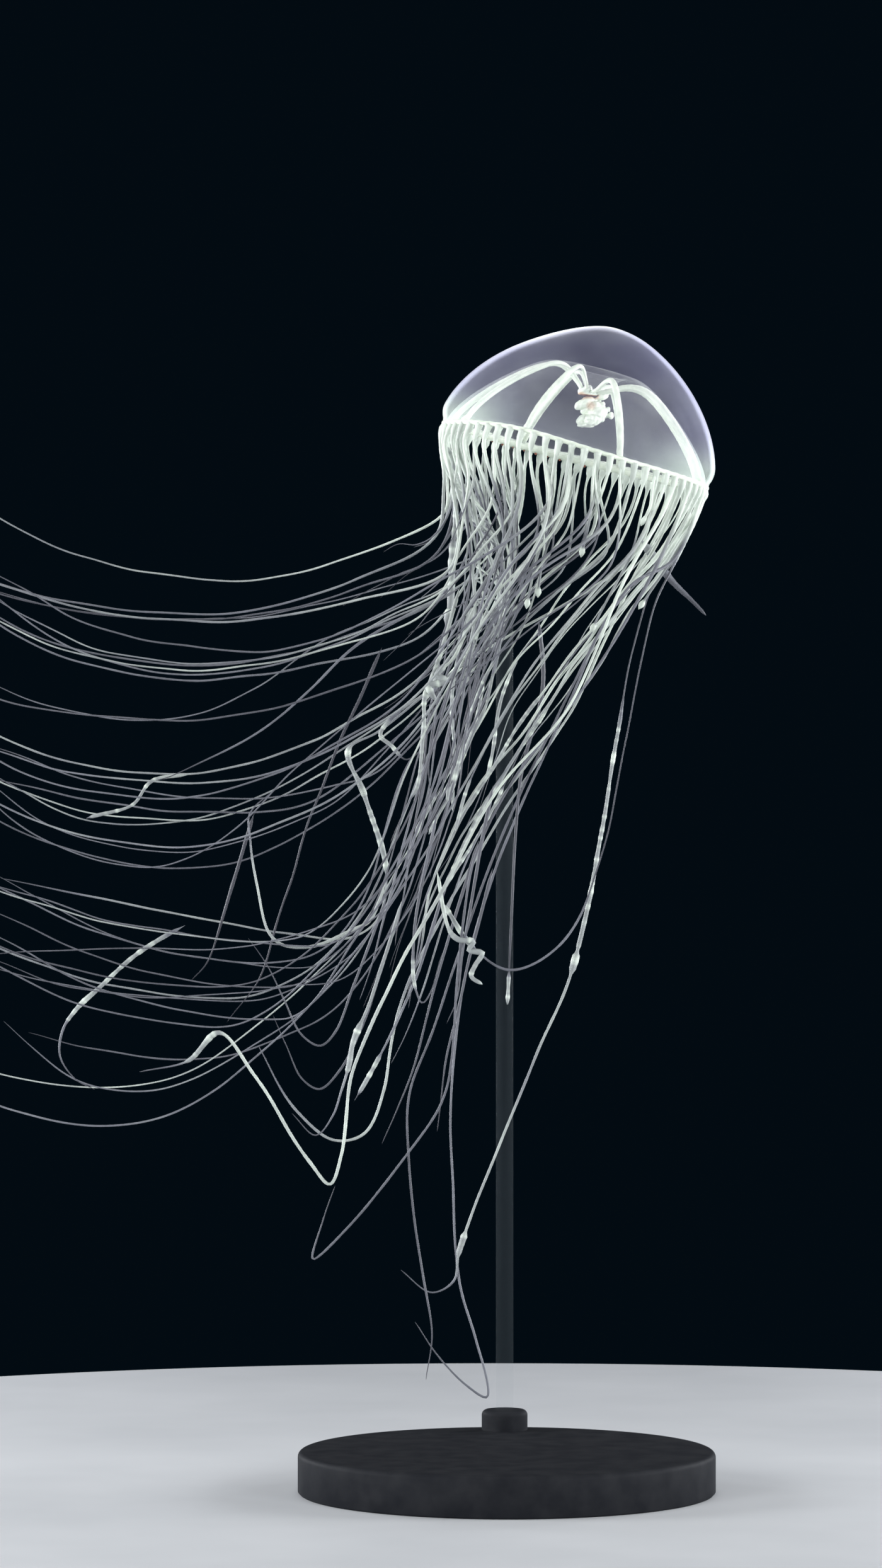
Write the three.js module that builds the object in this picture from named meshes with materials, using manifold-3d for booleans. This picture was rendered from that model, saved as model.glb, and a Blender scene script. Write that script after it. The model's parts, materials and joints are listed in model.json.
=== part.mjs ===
// A swimming hydromedusa, a small jellyfish of the sea, life size, banked on a museum stand.
// Millimetres, +Z up. The origin is the centre of the underside of the stand's base. The animal is
// seen from -Y, with its crown leaning to +X and its tentacles streaming down and off to -X.
import * as THREE from "three";
import Module from "manifold-3d";
import { mergeVertices } from "three/addons/utils/BufferGeometryUtils.js";

const wasm = await Module();
wasm.setup();

// Driving dimensions. The rest of the animal is in proportion to its bell.
const BELL_DIAMETER = 40;
const R = BELL_DIAMETER / 2;
const BELL_HEIGHT = 0.945 * R;
const BELL_TILT = THREE.MathUtils.degToRad(14);
const RING_CENTRE = new THREE.Vector3(10, 0, 149.5); // middle of the bell's mouth
const GAP = 0.3; // left between pieces that touch

const MATERIALS = {
  jelly: new THREE.MeshStandardMaterial({ color: 0xb9bdd6, roughness: 0.15, transparent: true, opacity: 0.35 }),
  canal: new THREE.MeshStandardMaterial({ color: 0xe6f2e6, roughness: 0.45 }),
  stomach: new THREE.MeshStandardMaterial({ color: 0xe8cfc0, roughness: 0.5 }),
  lips: new THREE.MeshStandardMaterial({ color: 0xf2f7ef, roughness: 0.5 }),
  tentacle: new THREE.MeshStandardMaterial({ color: 0xc9cbd2, roughness: 0.4 }),
  base: new THREE.MeshStandardMaterial({ color: 0x1d2024, roughness: 0.35 }),
  rod: new THREE.MeshStandardMaterial({ color: 0xe8eef0, roughness: 0.05, transparent: true, opacity: 0.35 }),
};

const jellyfish = new THREE.Group();
const animal = new THREE.Group(); // measured from the middle of the bell's mouth
animal.position.copy(RING_CENTRE);
jellyfish.add(animal);
const bellFrame = new THREE.Group(); // the same, with +Z along the bell's own axis
bellFrame.rotation.y = BELL_TILT;
animal.add(bellFrame);

function addNode(parent, name, geometry, material) {
  const mesh = new THREE.Mesh(geometry, material);
  mesh.name = name;
  parent.add(mesh);
}

// Numbers and curves --------------------------------------------------------------------------

const mix = THREE.MathUtils.lerp;
const ease = (t) => THREE.MathUtils.smoothstep(t, 0, 1);
const evenly = (from, to, steps) => Array.from({ length: steps + 1 }, (_, k) => mix(from, to, k / steps));
// An even scatter of numbers from 0 to 1, another one for each seed.
const scatter = (i, seed) => (i * 0.6180339887 + seed * 0.7548776662) % 1;
// Azimuth 0 faces -Y and 90 degrees faces +X.
const around = (azimuth, radius, height) =>
  new THREE.Vector3(radius * Math.sin(azimuth), -radius * Math.cos(azimuth), height);

// Places along a stretch of curve, from 0 to 1 on the whole of it, closer together where it bends.
function bendingPlaces(curve, from, to, steps) {
  const BEND_WEIGHT = 0.35; // of a turn of one radian against the whole stretch
  const SAMPLES = 120;
  const samples = evenly(from, to, SAMPLES);
  const tangents = samples.map((u) => curve.getTangentAt(u));
  const effort = [0];
  for (let k = 1; k <= SAMPLES; k++) {
    effort.push(effort[k - 1] + 1 / SAMPLES + BEND_WEIGHT * tangents[k].angleTo(tangents[k - 1]));
  }
  return evenly(0, effort[SAMPLES], steps).map((target) => {
    const k = Math.max(1, effort.findIndex((value) => value >= target - 1e-9));
    return mix(samples[k - 1], samples[k], (target - effort[k - 1]) / (effort[k] - effort[k - 1]));
  });
}

// Solids --------------------------------------------------------------------------------------

function solidOf(geometry) {
  const bare = geometry.clone();
  bare.deleteAttribute("normal");
  bare.deleteAttribute("uv");
  const merged = mergeVertices(bare, 1e-4);
  return new wasm.Manifold(
    new wasm.Mesh({
      numProp: 3,
      vertProperties: merged.attributes.position.array,
      triVerts: new Uint32Array(merged.index.array),
    }),
  );
}

function geometryOf(solid) {
  const { vertProperties, triVerts } = solid.getMesh();
  return new THREE.BufferGeometry()
    .setAttribute("position", new THREE.BufferAttribute(vertProperties, 3))
    .setIndex(new THREE.BufferAttribute(triVerts, 1));
}

// A solid turned about Z. Its profile of [radius, height] runs upwards on the outside.
function turned(profile, segments) {
  return new THREE.LatheGeometry(profile.map(([r, z]) => new THREE.Vector2(r, z)), segments).rotateX(Math.PI / 2);
}

// A closed tube with flat ends: a cylinder of unit radius laid along a curve, with its own radius at
// each of the places along it.
function tubeAlong(curve, places, radiusAt, sides) {
  const steps = places.length - 1;
  const tube = new THREE.CylinderGeometry(1, 1, 1, sides, steps);
  let normal = new THREE.Vector3(0, 1, 0);
  const rings = places.map((u) => {
    const tangent = curve.getTangentAt(u);
    normal = normal.clone().addScaledVector(tangent, -normal.dot(tangent)).normalize();
    return { centre: curve.getPointAt(u), normal, binormal: tangent.cross(normal), radius: radiusAt(u) };
  });
  const position = tube.attributes.position;
  const point = new THREE.Vector3();
  for (let i = 0; i < position.count; i++) {
    const ring = rings[Math.round((0.5 - position.getY(i)) * steps)];
    point
      .copy(ring.centre)
      .addScaledVector(ring.normal, position.getX(i) * ring.radius)
      .addScaledVector(ring.binormal, position.getZ(i) * ring.radius);
    position.setXYZ(i, point.x, point.y, point.z);
  }
  return tube;
}

// Bell ----------------------------------------------------------------------------------------
// Clear jelly, thick over the crown and thin at the mouth. Its hollow underside drops in the middle
// into a short cone of jelly, the peduncle, which carries the stomach.
const CROWN_RADIUS = 1.015 * R; // the widest place, a little above the mouth
const CROWN_ROUNDNESS = 1.7; // exponent of the outer curve: 2 is an ellipse, 1 a cone
const HOLLOW_ROUNDNESS = 1.35;
const HOLLOW_RADIUS = 0.955 * R;
const HOLLOW_HEIGHT = 0.75 * R;
const PEDUNCLE_LENGTH = 0.29 * R;
const PEDUNCLE_WIDTH = 0.205 * R;
const BELL_SEGMENTS = 32;

function crownPoint(turn) {
  const height = BELL_HEIGHT * Math.cos(turn) ** (2 / CROWN_ROUNDNESS);
  const tuck = 0.03 * R * Math.max(0, 1 - height / (0.12 * R)) ** 2; // the edge turns in
  return [CROWN_RADIUS * Math.sin(turn) ** (2 / CROWN_ROUNDNESS) - tuck, height];
}
function hollowHeight(r) {
  const vault = Math.max(0, 1 - (r / HOLLOW_RADIUS) ** HOLLOW_ROUNDNESS) ** (1 / HOLLOW_ROUNDNESS);
  return HOLLOW_HEIGHT * vault - PEDUNCLE_LENGTH * Math.exp(-((r / PEDUNCLE_WIDTH) ** 2));
}

// The rim of the mouth isn't level all round: it rises a little on the near side, towards -X.
const RISE_HEIGHT = 0.04 * R;
const RISE_AZIMUTH = THREE.MathUtils.degToRad(-28);
const RISE_SPREAD = THREE.MathUtils.degToRad(30);
const rimRise = (azimuth) => RISE_HEIGHT * Math.exp(-(((azimuth - RISE_AZIMUTH) / RISE_SPREAD) ** 2));
function withRimRise(geometry) {
  const position = geometry.attributes.position;
  for (let i = 0; i < position.count; i++) {
    const rise = rimRise(Math.atan2(position.getX(i), -position.getY(i)));
    const share = 1 - ease(position.getZ(i) / (0.6 * R));
    position.setZ(i, position.getZ(i) + rise * share);
  }
  return geometry;
}

const crown = evenly(Math.PI / 2, 0, 10).map(crownPoint);
const hollow = [0, 0.06, 0.13, 0.2, 0.27, 0.36, 0.5, 0.65, 0.78, 0.88, 0.94, 0.955]
  .map((share) => share * R)
  .map((r) => [r, hollowHeight(r)]);
crown[0][1] = 0;
crown.at(-1)[0] = 0;
addNode(bellFrame, "bell", withRimRise(turned([...hollow, ...crown], BELL_SEGMENTS)), MATERIALS.jelly);

// The velum, the thin shelf of skin just inside the mouth that every hydromedusa has.
const VELUM_OUTER = 0.925 * R;
const VELUM_INNER = 0.78 * R;
const VELUM_DROOP = 0.03 * R;
const VELUM_THICKNESS = 0.5;
const velumProfile = [
  [VELUM_INNER, -VELUM_DROOP - VELUM_THICKNESS / 2],
  [VELUM_OUTER, -VELUM_THICKNESS / 2],
  [VELUM_OUTER, VELUM_THICKNESS / 2],
  [VELUM_INNER, -VELUM_DROOP + VELUM_THICKNESS / 2],
  [VELUM_INNER, -VELUM_DROOP - VELUM_THICKNESS / 2],
];
addNode(bellFrame, "velum", withRimRise(turned(velumProfile, BELL_SEGMENTS)), MATERIALS.jelly);

// Stomach and mouth ---------------------------------------------------------------------------
// The stomach is a small cushion under the tip of the peduncle. From it hangs the manubrium, a short
// tube that ends in frilled lips.
const STOMACH_RADIUS = 0.1 * R;
const STOMACH_FLOOR = 0.39 * R;
const stomachProfile = [
  [0, STOMACH_FLOOR],
  [STOMACH_RADIUS * 0.75, STOMACH_FLOOR],
  [STOMACH_RADIUS * 1.1, STOMACH_FLOOR + 0.04 * R],
  ...[1, 0.7, 0.35, 0].map((share) => share * STOMACH_RADIUS).map((r) => [r, hollowHeight(r) - GAP]),
];
addNode(bellFrame, "stomach", turned(stomachProfile, 12), MATERIALS.stomach);

// Gives a turned shape lobes that deepen towards its bottom.
function lobed(geometry, lobes, depth, top, bottom) {
  const position = geometry.attributes.position;
  for (let i = 0; i < position.count; i++) {
    const [x, y, z] = [position.getX(i), position.getY(i), position.getZ(i)];
    const down = THREE.MathUtils.clamp((top - z) / (top - bottom), 0, 1);
    const push = 1 + depth * down * Math.cos(lobes * Math.atan2(x, -y));
    position.setXYZ(i, x * push, y * push, z);
  }
  return geometry;
}

const MANUBRIUM_TOP = STOMACH_FLOOR - GAP;
const MANUBRIUM_BOTTOM = 0.3 * R;
const MANUBRIUM_RADIUS = 0.09 * R;
const manubriumProfile = [
  [0, MANUBRIUM_BOTTOM],
  [MANUBRIUM_RADIUS, MANUBRIUM_BOTTOM],
  [MANUBRIUM_RADIUS * 1.15, mix(MANUBRIUM_BOTTOM, MANUBRIUM_TOP, 0.5)],
  [MANUBRIUM_RADIUS * 0.8, MANUBRIUM_TOP],
  [0, MANUBRIUM_TOP],
];
const manubrium = lobed(turned(manubriumProfile, 16), 4, 0.15, MANUBRIUM_TOP, MANUBRIUM_BOTTOM);
addNode(bellFrame, "manubrium", manubrium, MATERIALS.lips);

const LIPS_TOP = MANUBRIUM_BOTTOM - GAP;
const LIPS_BOTTOM = 0.19 * R;
const LIPS_RADIUS = 0.115 * R;
const lipsProfile = [
  [0, mix(LIPS_BOTTOM, LIPS_TOP, 0.35)],
  [LIPS_RADIUS * 0.6, LIPS_BOTTOM],
  [LIPS_RADIUS * 1.1, mix(LIPS_BOTTOM, LIPS_TOP, 0.25)],
  [LIPS_RADIUS, mix(LIPS_BOTTOM, LIPS_TOP, 0.75)],
  [LIPS_RADIUS * 0.7, LIPS_TOP],
  [0, LIPS_TOP],
];
addNode(bellFrame, "lips", lobed(turned(lipsProfile, 24), 4, 0.35, LIPS_TOP, LIPS_BOTTOM), MATERIALS.lips);

// Radial canals -------------------------------------------------------------------------------
// White cords, thickened by the gonads, that climb the hollow from the rim, turn over at the foot of
// the peduncle and run down it to the stomach.
const CANAL_AZIMUTHS = [-60, -24, 18, 71, 106, 159, 204, 258].map(THREE.MathUtils.degToRad);
const CANAL_RADIUS = 0.0225 * R;
const CANAL_OUTER = 0.93 * R;
const CANAL_INNER = 0.135 * R;
const CANAL_STEPS = 9;
const CANAL_SIDES = 4;

function canalCurve(azimuth) {
  const offset = CANAL_RADIUS + GAP;
  const points = evenly(CANAL_OUTER, CANAL_INNER, 16).map((r) => {
    const slope = (hollowHeight(r + 0.01 * R) - hollowHeight(r - 0.01 * R)) / (0.02 * R);
    const steepness = Math.hypot(1, slope);
    return around(azimuth, r + (offset * slope) / steepness, hollowHeight(r) - offset / steepness);
  });
  return new THREE.CatmullRomCurve3(points);
}
CANAL_AZIMUTHS.forEach((azimuth, k) => {
  const curve = canalCurve(azimuth);
  const canal = tubeAlong(curve, bendingPlaces(curve, 0, 1, CANAL_STEPS), () => CANAL_RADIUS, CANAL_SIDES);
  addNode(bellFrame, `canal_${k + 1}`, withRimRise(canal), MATERIALS.canal);
});

// Tentacles -----------------------------------------------------------------------------------
// A cord of tissue rings the mouth. Sixty-four tentacles hang from it, each from a swollen bulb.
// Lengths and places below are in bell diameters from the middle of the mouth, [across, up].
const D = BELL_DIAMETER;
const TENTACLES = 64;
const RIM_RADIUS = 0.965 * R;
const RIM_CORD = 0.0225 * R;
const RIM_HEIGHT = -GAP - RIM_CORD;
const BULB_LENGTH = 0.13 * R;
const UPRIGHT = new THREE.Vector3(0, 1, 0);

const rimPoint = (azimuth, below) =>
  around(azimuth, RIM_RADIUS, RIM_HEIGHT + rimRise(azimuth) - below).applyAxisAngle(UPRIGHT, BELL_TILT);
function rootOf(i) {
  const turn = (i + 0.5) / TENTACLES;
  const azimuth = 2 * Math.PI * (turn < 0.5 ? turn : turn - 1);
  return { root: rimPoint(azimuth, 0), neck: rimPoint(azimuth, BULB_LENGTH) };
}

// The tentacles fall as a bundle that drifts to -X and narrows as it drops. Those from the middle of the
// rim are swept further to -X on their way, and those from its +X side lean over lower down.
const DRIFT = 0.4;
const SWEEP = 0.18;
const SWEEP_MIDDLE = 0.1; // across the rim
const SWEEP_SPREAD = 0.2;
const SWEPT_OUT = 0.42; // away from the bundle's middle, to pass the rest
const LEAN = 0.07;
const bundleWidth = (drop) => 1 / (1 + 1.1 * drop ** 1.2);
const bundleDepth = (drop) => 1 / (1 + 0.5 * drop);
function inBundle(neck, drop, fill, wave) {
  const across = neck.x / D;
  const nearMiddle = Math.exp(-(((across - SWEEP_MIDDLE) / SWEEP_SPREAD) ** 2));
  const sweep = nearMiddle * ease((drop - 0.06) / 0.5) * (1 - 0.6 * ease((drop - 0.7) / 0.9));
  const lean = ease((across - 0.15) / 0.2) * ease((drop - 0.4) / 0.7);
  const drift = (-DRIFT * drop * drop) / (drop + 0.35) - SWEEP * sweep - LEAN * lean + wave;
  return new THREE.Vector3(
    neck.x * bundleWidth(drop) * fill + D * drift,
    neck.y * bundleDepth(drop) * fill * (1 + SWEPT_OUT * sweep),
    neck.z - D * drop,
  );
}

// A tentacle's curve goes through its points. Slow eddies shift it, across by its depth and in depth
// by its place across, so that neighbours wander together and stay apart.
const EDDY_ACROSS = 0.03 * D;
const EDDY_DEPTH = 0.07 * D;
class Tentacle extends THREE.Curve {
  constructor(points, stir) {
    super();
    this.spine = new THREE.CatmullRomCurve3(points);
    this.arcLengthDivisions = 300;
    this.spineLength = this.spine.getLength();
    this.stir = stir;
  }
  getPoint(t, target = new THREE.Vector3()) {
    const { x, y, z } = this.spine.getPoint(t, target);
    const stir = this.stir * ease((t * this.spineLength) / (0.8 * D));
    const newX = x + stir * EDDY_ACROSS * Math.sin((8 * y + 5 * z) / D);
    const newY = y + stir * EDDY_DEPTH * Math.sin((3 * newX + 4 * z) / D + 1);
    return target.set(newX, newY, z);
  }
}

// Most tentacles end inside the bundle, at their own length and drawn in by their own inset.
const HANGING_LENGTHS = [0.95, 2.2];
const HANGING_INSETS = [0.15, 0.55];
const HANGING_STEP = 0.2;
const WAVE = 0.02;
function hangingCurve(i) {
  const { root, neck } = rootOf(i);
  const length = mix(...HANGING_LENGTHS, scatter(i, 57));
  const inset = mix(...HANGING_INSETS, scatter(i, 54.5));
  const points = [root, neck];
  for (let drop = HANGING_STEP; drop <= length; drop += HANGING_STEP) {
    const wave = WAVE * ease(drop) * Math.sin(6 * drop + 2 * Math.PI * scatter(i, 18.25));
    points.push(inBundle(neck, drop, 1 - inset * ease(drop / 0.7), wave));
  }
  return new Tentacle(points, 1);
}

// Twenty leave the bundle on its -X side and trail off in shallow arcs, in sheaves one below another:
// where each sheaf hangs lowest, how deep it is, and how far its ends rise again.
const SHEAVES = [
  { count: 1, lowest: [-1.25, -0.46], depth: 0, rise: 0.42 },
  { count: 3, lowest: [-1.38, -0.6], depth: 0.08, rise: 0.22 },
  { count: 3, lowest: [-1.4, -0.8], depth: 0.08, rise: 0.36 },
  { count: 1, lowest: [-1.45, -0.97], depth: 0, rise: 0.2 },
  { count: 5, lowest: [-1.48, -1.33], depth: 0.34, rise: 0.32 },
  { count: 2, lowest: [-1.06, -1.8], depth: 0.1, rise: 0.34 },
  { count: 3, lowest: [-1.25, -1.98], depth: 0.14, rise: 0.3 },
  { count: 2, lowest: [-1.63, -2.35], depth: 0.1, rise: 0.2 },
];
const TRAIL_ENDS = [-2.3, -2.45];
// From the first of them to the last: how far down the bundle it goes, and the knee where its arc begins.
const BUNDLED = [0.16, 0.86];
const BUNDLED_STEP = 0.22;
const KNEES_ACROSS = [-0.46, -0.66];
const KNEES_DOWN = [-0.22, -1.57];
const LANES = [0.02, 0.05, 0.08]; // how far towards the near or the far side
const ARCS = SHEAVES.flatMap(({ count, lowest, depth, rise }) =>
  Array.from({ length: count }, (_, k) => {
    const place = count > 1 ? k / (count - 1) - 0.5 : 0;
    return { lowest: [lowest[0], lowest[1] - place * depth], rise: rise * (1 + 0.25 * place) };
  }),
);
const TRAILING = ARCS.length;

function trailingCurve(i, rank) {
  const { root, neck } = rootOf(i);
  const { lowest, rise } = ARCS[rank];
  const share = rank / (TRAILING - 1);
  const lane = Math.sign(neck.y) * LANES[Math.floor(rank / 2) % LANES.length] * D;
  const knee = [mix(...KNEES_ACROSS, share), mix(...KNEES_DOWN, share)];
  const end = mix(...TRAIL_ENDS, scatter(rank, 6));
  const points = [root, neck];
  for (let drop = BUNDLED[0]; drop <= mix(...BUNDLED, share); drop += BUNDLED_STEP) {
    points.push(inBundle(neck, drop, 1, 0).setY(neck.y + lane * ease(drop / 0.6)));
  }
  const hang = (x) =>
    x > lowest[0]
      ? lowest[1] + (knee[1] - lowest[1]) * ((x - lowest[0]) / (knee[0] - lowest[0])) ** 2
      : lowest[1] + rise * ((x - lowest[0]) / (end - lowest[0])) ** 2;
  const across = [knee[0], mix(knee[0], lowest[0], 0.35), mix(knee[0], lowest[0], 0.7), ...evenly(lowest[0], end, 2)];
  across.forEach((x, k) => points.push(new THREE.Vector3(D * x, lane + neck.y * mix(1, 0.5, k / 5), D * hang(x))));
  return new Tentacle(points, 1);
}

// Eight stragglers, from the one nearest -X, each with its own way down.
const STRAGGLERS = [
  // kinked, then off to the side
  [[-0.4, -0.75], [-0.72, -1.0], [-0.83, -1.07], [-0.77, -1.24], [-0.69, -1.5], [-0.72, -1.69], [-0.83, -1.76],
    [-1.08, -1.74], [-1.51, -1.66], [-2.1, -1.54]],
  // down to a narrow hook, back up and over
  [[-0.01, -0.9], [-0.27, -1.21], [-0.49, -1.6], [-0.66, -1.91], [-0.79, -2.22], [-0.83, -2.5], [-0.87, -2.61],
    [-0.94, -2.53], [-1.14, -2.22], [-1.26, -2.07], [-1.37, -2.17], [-1.54, -2.21]],
  // a wider hook beside it
  [[0.05, -0.9], [-0.2, -1.25], [-0.45, -1.65], [-0.63, -2.0], [-0.69, -2.31], [-0.76, -2.47], [-0.87, -2.49],
    [-1.0, -2.39], [-1.15, -2.15]],
  // down, off to the side and back in a sharp corner
  [[0.05, -0.85], [-0.2, -1.18], [-0.35, -1.46], [-0.42, -1.89], [-0.47, -2.28], [-0.6, -2.5], [-0.94, -2.88],
    [-0.9, -2.74], [-0.86, -2.62]],
  // the longest, to a sharp corner at the very bottom
  [[0.17, -0.5], [0.02, -0.95], [-0.2, -1.45], [-0.4, -1.95], [-0.45, -2.39], [-0.44, -2.76], [-0.42, -3.0], [-0.36, -3.21],
    [-0.32, -3.42], [-0.39, -3.38], [-0.5, -3.27], [-0.58, -3.15]],
  // nearly straight down
  [[0.17, -0.5], [0.0, -0.95], [-0.22, -1.45], [-0.5, -2.05], [-0.6, -2.3], [-0.6, -2.55], [-0.55, -2.93], [-0.52, -3.15],
    [-0.54, -3.31]],
  // apart from the rest on the +X side, then under them, with a curled tip
  [[0.28, -0.5], [0.18, -0.9], [0.1, -1.38], [0.0, -1.86], [-0.13, -2.17], [-0.27, -2.5], [-0.42, -2.89],
    [-0.44, -3.0], [-0.52, -3.04], [-0.63, -2.96]],
  // a loop back up into the bundle
  [[0.26, -0.6], [0.17, -1.05], [0.06, -1.52], [-0.07, -1.77], [-0.24, -1.85], [-0.38, -1.76], [-0.47, -1.62]],
];

// They pass before or behind the bundle, each pair in its own plane.
const PLANES = [0.42, 0.385, 0.35, 0.315];
function stragglerCurve(i, order) {
  const { root, neck } = rootOf(i);
  const plane = Math.sign(neck.y) * D * PLANES[Math.floor(order / 2)];
  const points = [root, neck, inBundle(neck, 0.2, 1, 0).setY(mix(neck.y, plane, 0.3))];
  STRAGGLERS[order].forEach(([x, z]) => {
    points.push(new THREE.Vector3(D * x, plane * mix(1, 0.7, ease((-z - 1.6) / 1.2)), D * z));
  });
  return new Tentacle(points, 0);
}

// The long ones are spread round the rim, and take their ways down in order from -X to +X.
const LONG_OF_16 = [1, 3, 6, 8, 10, 13, 15];
const longOnes = evenly(0, TENTACLES - 1, TENTACLES - 1)
  .filter((i) => LONG_OF_16.includes(i % 16))
  .sort((a, b) => rootOf(a).root.x - rootOf(b).root.x);
function curveOf(i) {
  const rank = longOnes.indexOf(i);
  if (rank < 0) return hangingCurve(i);
  return rank < TRAILING ? trailingCurve(i, rank) : stragglerCurve(i, rank - TRAILING);
}

// Thickness down a tentacle: the bulb, its neck, then an even taper to the tip.
const BULB_RADII = [0.021, 0.029, 0.019].map((share) => share * R);
const TIP_RADIUS = 0.3;
function radiusOf(length) {
  return (u) => {
    const place = (u * length * (BULB_RADII.length - 1)) / BULB_LENGTH;
    const k = Math.floor(place);
    return k < BULB_RADII.length - 1
      ? mix(BULB_RADII[k], BULB_RADII[k + 1], place - k)
      : mix(BULB_RADII.at(-1), TIP_RADIUS, ease((u * length - BULB_LENGTH) / (0.6 * length)));
  };
}

// Four tentacles are joined to each length of the rim's cord. The long ones go on in a second piece.
const PER_LENGTH = 4;
const SIDES = 3;
const HANGING_STEPS = 6;
const FIRST_SHARE = 0.36; // of a long tentacle, before it is divided
const FIRST_STEPS = 4;
const REST_STEPS = 9;
const CORD_SIDES = 4;
const CORD_STEPS = 3;
for (let first = 0; first < TENTACLES; first += PER_LENGTH) {
  const margin = GAP / 2 / RIM_RADIUS;
  const half = TENTACLES / 2;
  const from = Math.PI * ((first < half ? first : first - TENTACLES) / half) + margin;
  const to = from + (2 * Math.PI * PER_LENGTH) / TENTACLES - 2 * margin;
  const cord = new THREE.CatmullRomCurve3(evenly(from, to, 4).map((azimuth) => rimPoint(azimuth, 0)));
  const pieces = [tubeAlong(cord, evenly(0, 1, CORD_STEPS), () => RIM_CORD, CORD_SIDES)];
  for (let i = first; i < first + PER_LENGTH; i++) {
    const curve = curveOf(i);
    const length = curve.getLength();
    const bulb = evenly(0, BULB_LENGTH / length, BULB_RADII.length - 1);
    const isLong = longOnes.includes(i);
    const end = isLong ? FIRST_SHARE : 1;
    const steps = isLong ? FIRST_STEPS : HANGING_STEPS;
    const places = [...bulb, ...bendingPlaces(curve, bulb.at(-1), end, steps).slice(1)];
    pieces.push(tubeAlong(curve, places, radiusOf(length), SIDES));
    if (isLong) {
      const rest = bendingPlaces(curve, end + GAP / length, 1, REST_STEPS);
      const number = String(longOnes.indexOf(i) + 1).padStart(2, "0");
      addNode(animal, `tentacle_end_${number}`, tubeAlong(curve, rest, radiusOf(length), SIDES), MATERIALS.tentacle);
    }
  }
  const joined = pieces.map(solidOf).reduce((whole, piece) => whole.add(piece));
  const number = String(first / PER_LENGTH + 1).padStart(2, "0");
  addNode(animal, `tentacles_${number}`, geometryOf(joined), MATERIALS.tentacle);
}

// Stand ---------------------------------------------------------------------------------------
// A round base with a socket, and a clear rod behind the tentacles whose bent top ends in a cup
// against the back of the bell.
const BASE_RADIUS = 30;
const BASE_THICKNESS = 6;
const BASE_BEVEL = 0.8;
const ROD_RADIUS = 1.3;
const ROD_Y = 26;
const ROD_BEND = 5;
const ROD_SIDES = 12;
const SOCKET_FLOOR = 2;
const COLLAR_RADIUS = 3.4;
const COLLAR_HEIGHT = 9;

function disc(radius, height, segments) {
  const profile = [
    [0, 0],
    [radius, 0],
    [radius, height - BASE_BEVEL],
    [radius - BASE_BEVEL, height],
    [0, height],
  ];
  return turned(profile, segments);
}
const socket = new THREE.CylinderGeometry(ROD_RADIUS + GAP, ROD_RADIUS + GAP, COLLAR_HEIGHT, 12)
  .rotateX(Math.PI / 2)
  .translate(0, ROD_Y, SOCKET_FLOOR + COLLAR_HEIGHT / 2);
const base = solidOf(disc(BASE_RADIUS, BASE_THICKNESS, 40))
  .add(solidOf(disc(COLLAR_RADIUS, COLLAR_HEIGHT, 16).translate(0, ROD_Y, 0)))
  .subtract(solidOf(socket));
addNode(jellyfish, "stand_base", geometryOf(base), MATERIALS.base);

// Where an arm level along -Y, from the rod, meets the outside of the tilted bell.
const REST_HEIGHT = 0.3 * R; // up the bell's axis
const restRadius = CROWN_RADIUS * (1 - (REST_HEIGHT / BELL_HEIGHT) ** CROWN_ROUNDNESS) ** (1 / CROWN_ROUNDNESS);
const restAcross = (-RING_CENTRE.x - REST_HEIGHT * Math.sin(BELL_TILT)) / Math.cos(BELL_TILT);
const restPoint = new THREE.Vector3(restAcross, Math.sqrt(restRadius ** 2 - restAcross ** 2), REST_HEIGHT)
  .applyAxisAngle(UPRIGHT, BELL_TILT)
  .add(RING_CENTRE);

const CUP_RADIUS = 3.2;
const CUP_LENGTH = 4;
const bendPoint = (turn) =>
  new THREE.Vector3(0, ROD_Y - ROD_BEND * (1 - Math.cos(turn)), restPoint.z - ROD_BEND * (1 - Math.sin(turn)));
const rodPoints = [
  new THREE.Vector3(0, ROD_Y, SOCKET_FLOOR + GAP),
  ...evenly(0, Math.PI / 2, 4).map(bendPoint),
  new THREE.Vector3(0, restPoint.y + CUP_LENGTH + GAP, restPoint.z),
];
const rodPath = new THREE.CurvePath();
rodPoints.slice(1).forEach((point, k) => rodPath.add(new THREE.LineCurve3(rodPoints[k], point)));
const rodPlaces = [0, ...rodPath.getCurveLengths().map((length) => length / rodPath.getLength())];
addNode(jellyfish, "stand_rod", tubeAlong(rodPath, rodPlaces, () => ROD_RADIUS, ROD_SIDES), MATERIALS.rod);

const cupBlank = new THREE.CylinderGeometry(CUP_RADIUS, ROD_RADIUS * 1.4, CUP_LENGTH * 2, 16)
  .rotateX(Math.PI)
  .translate(0, restPoint.y, restPoint.z);
const clearOfBell = 1 + GAP / R;
const bellBlank = turned([[0, 0], ...crown], BELL_SEGMENTS)
  .scale(clearOfBell, clearOfBell, clearOfBell)
  .rotateY(BELL_TILT)
  .translate(...RING_CENTRE);
addNode(jellyfish, "stand_cup", geometryOf(solidOf(cupBlank).subtract(solidOf(bellBlank))), MATERIALS.rod);

export default jellyfish;
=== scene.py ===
import json
import math

import bmesh
import bpy
from mathutils import Matrix, Vector, kdtree, noise

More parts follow.
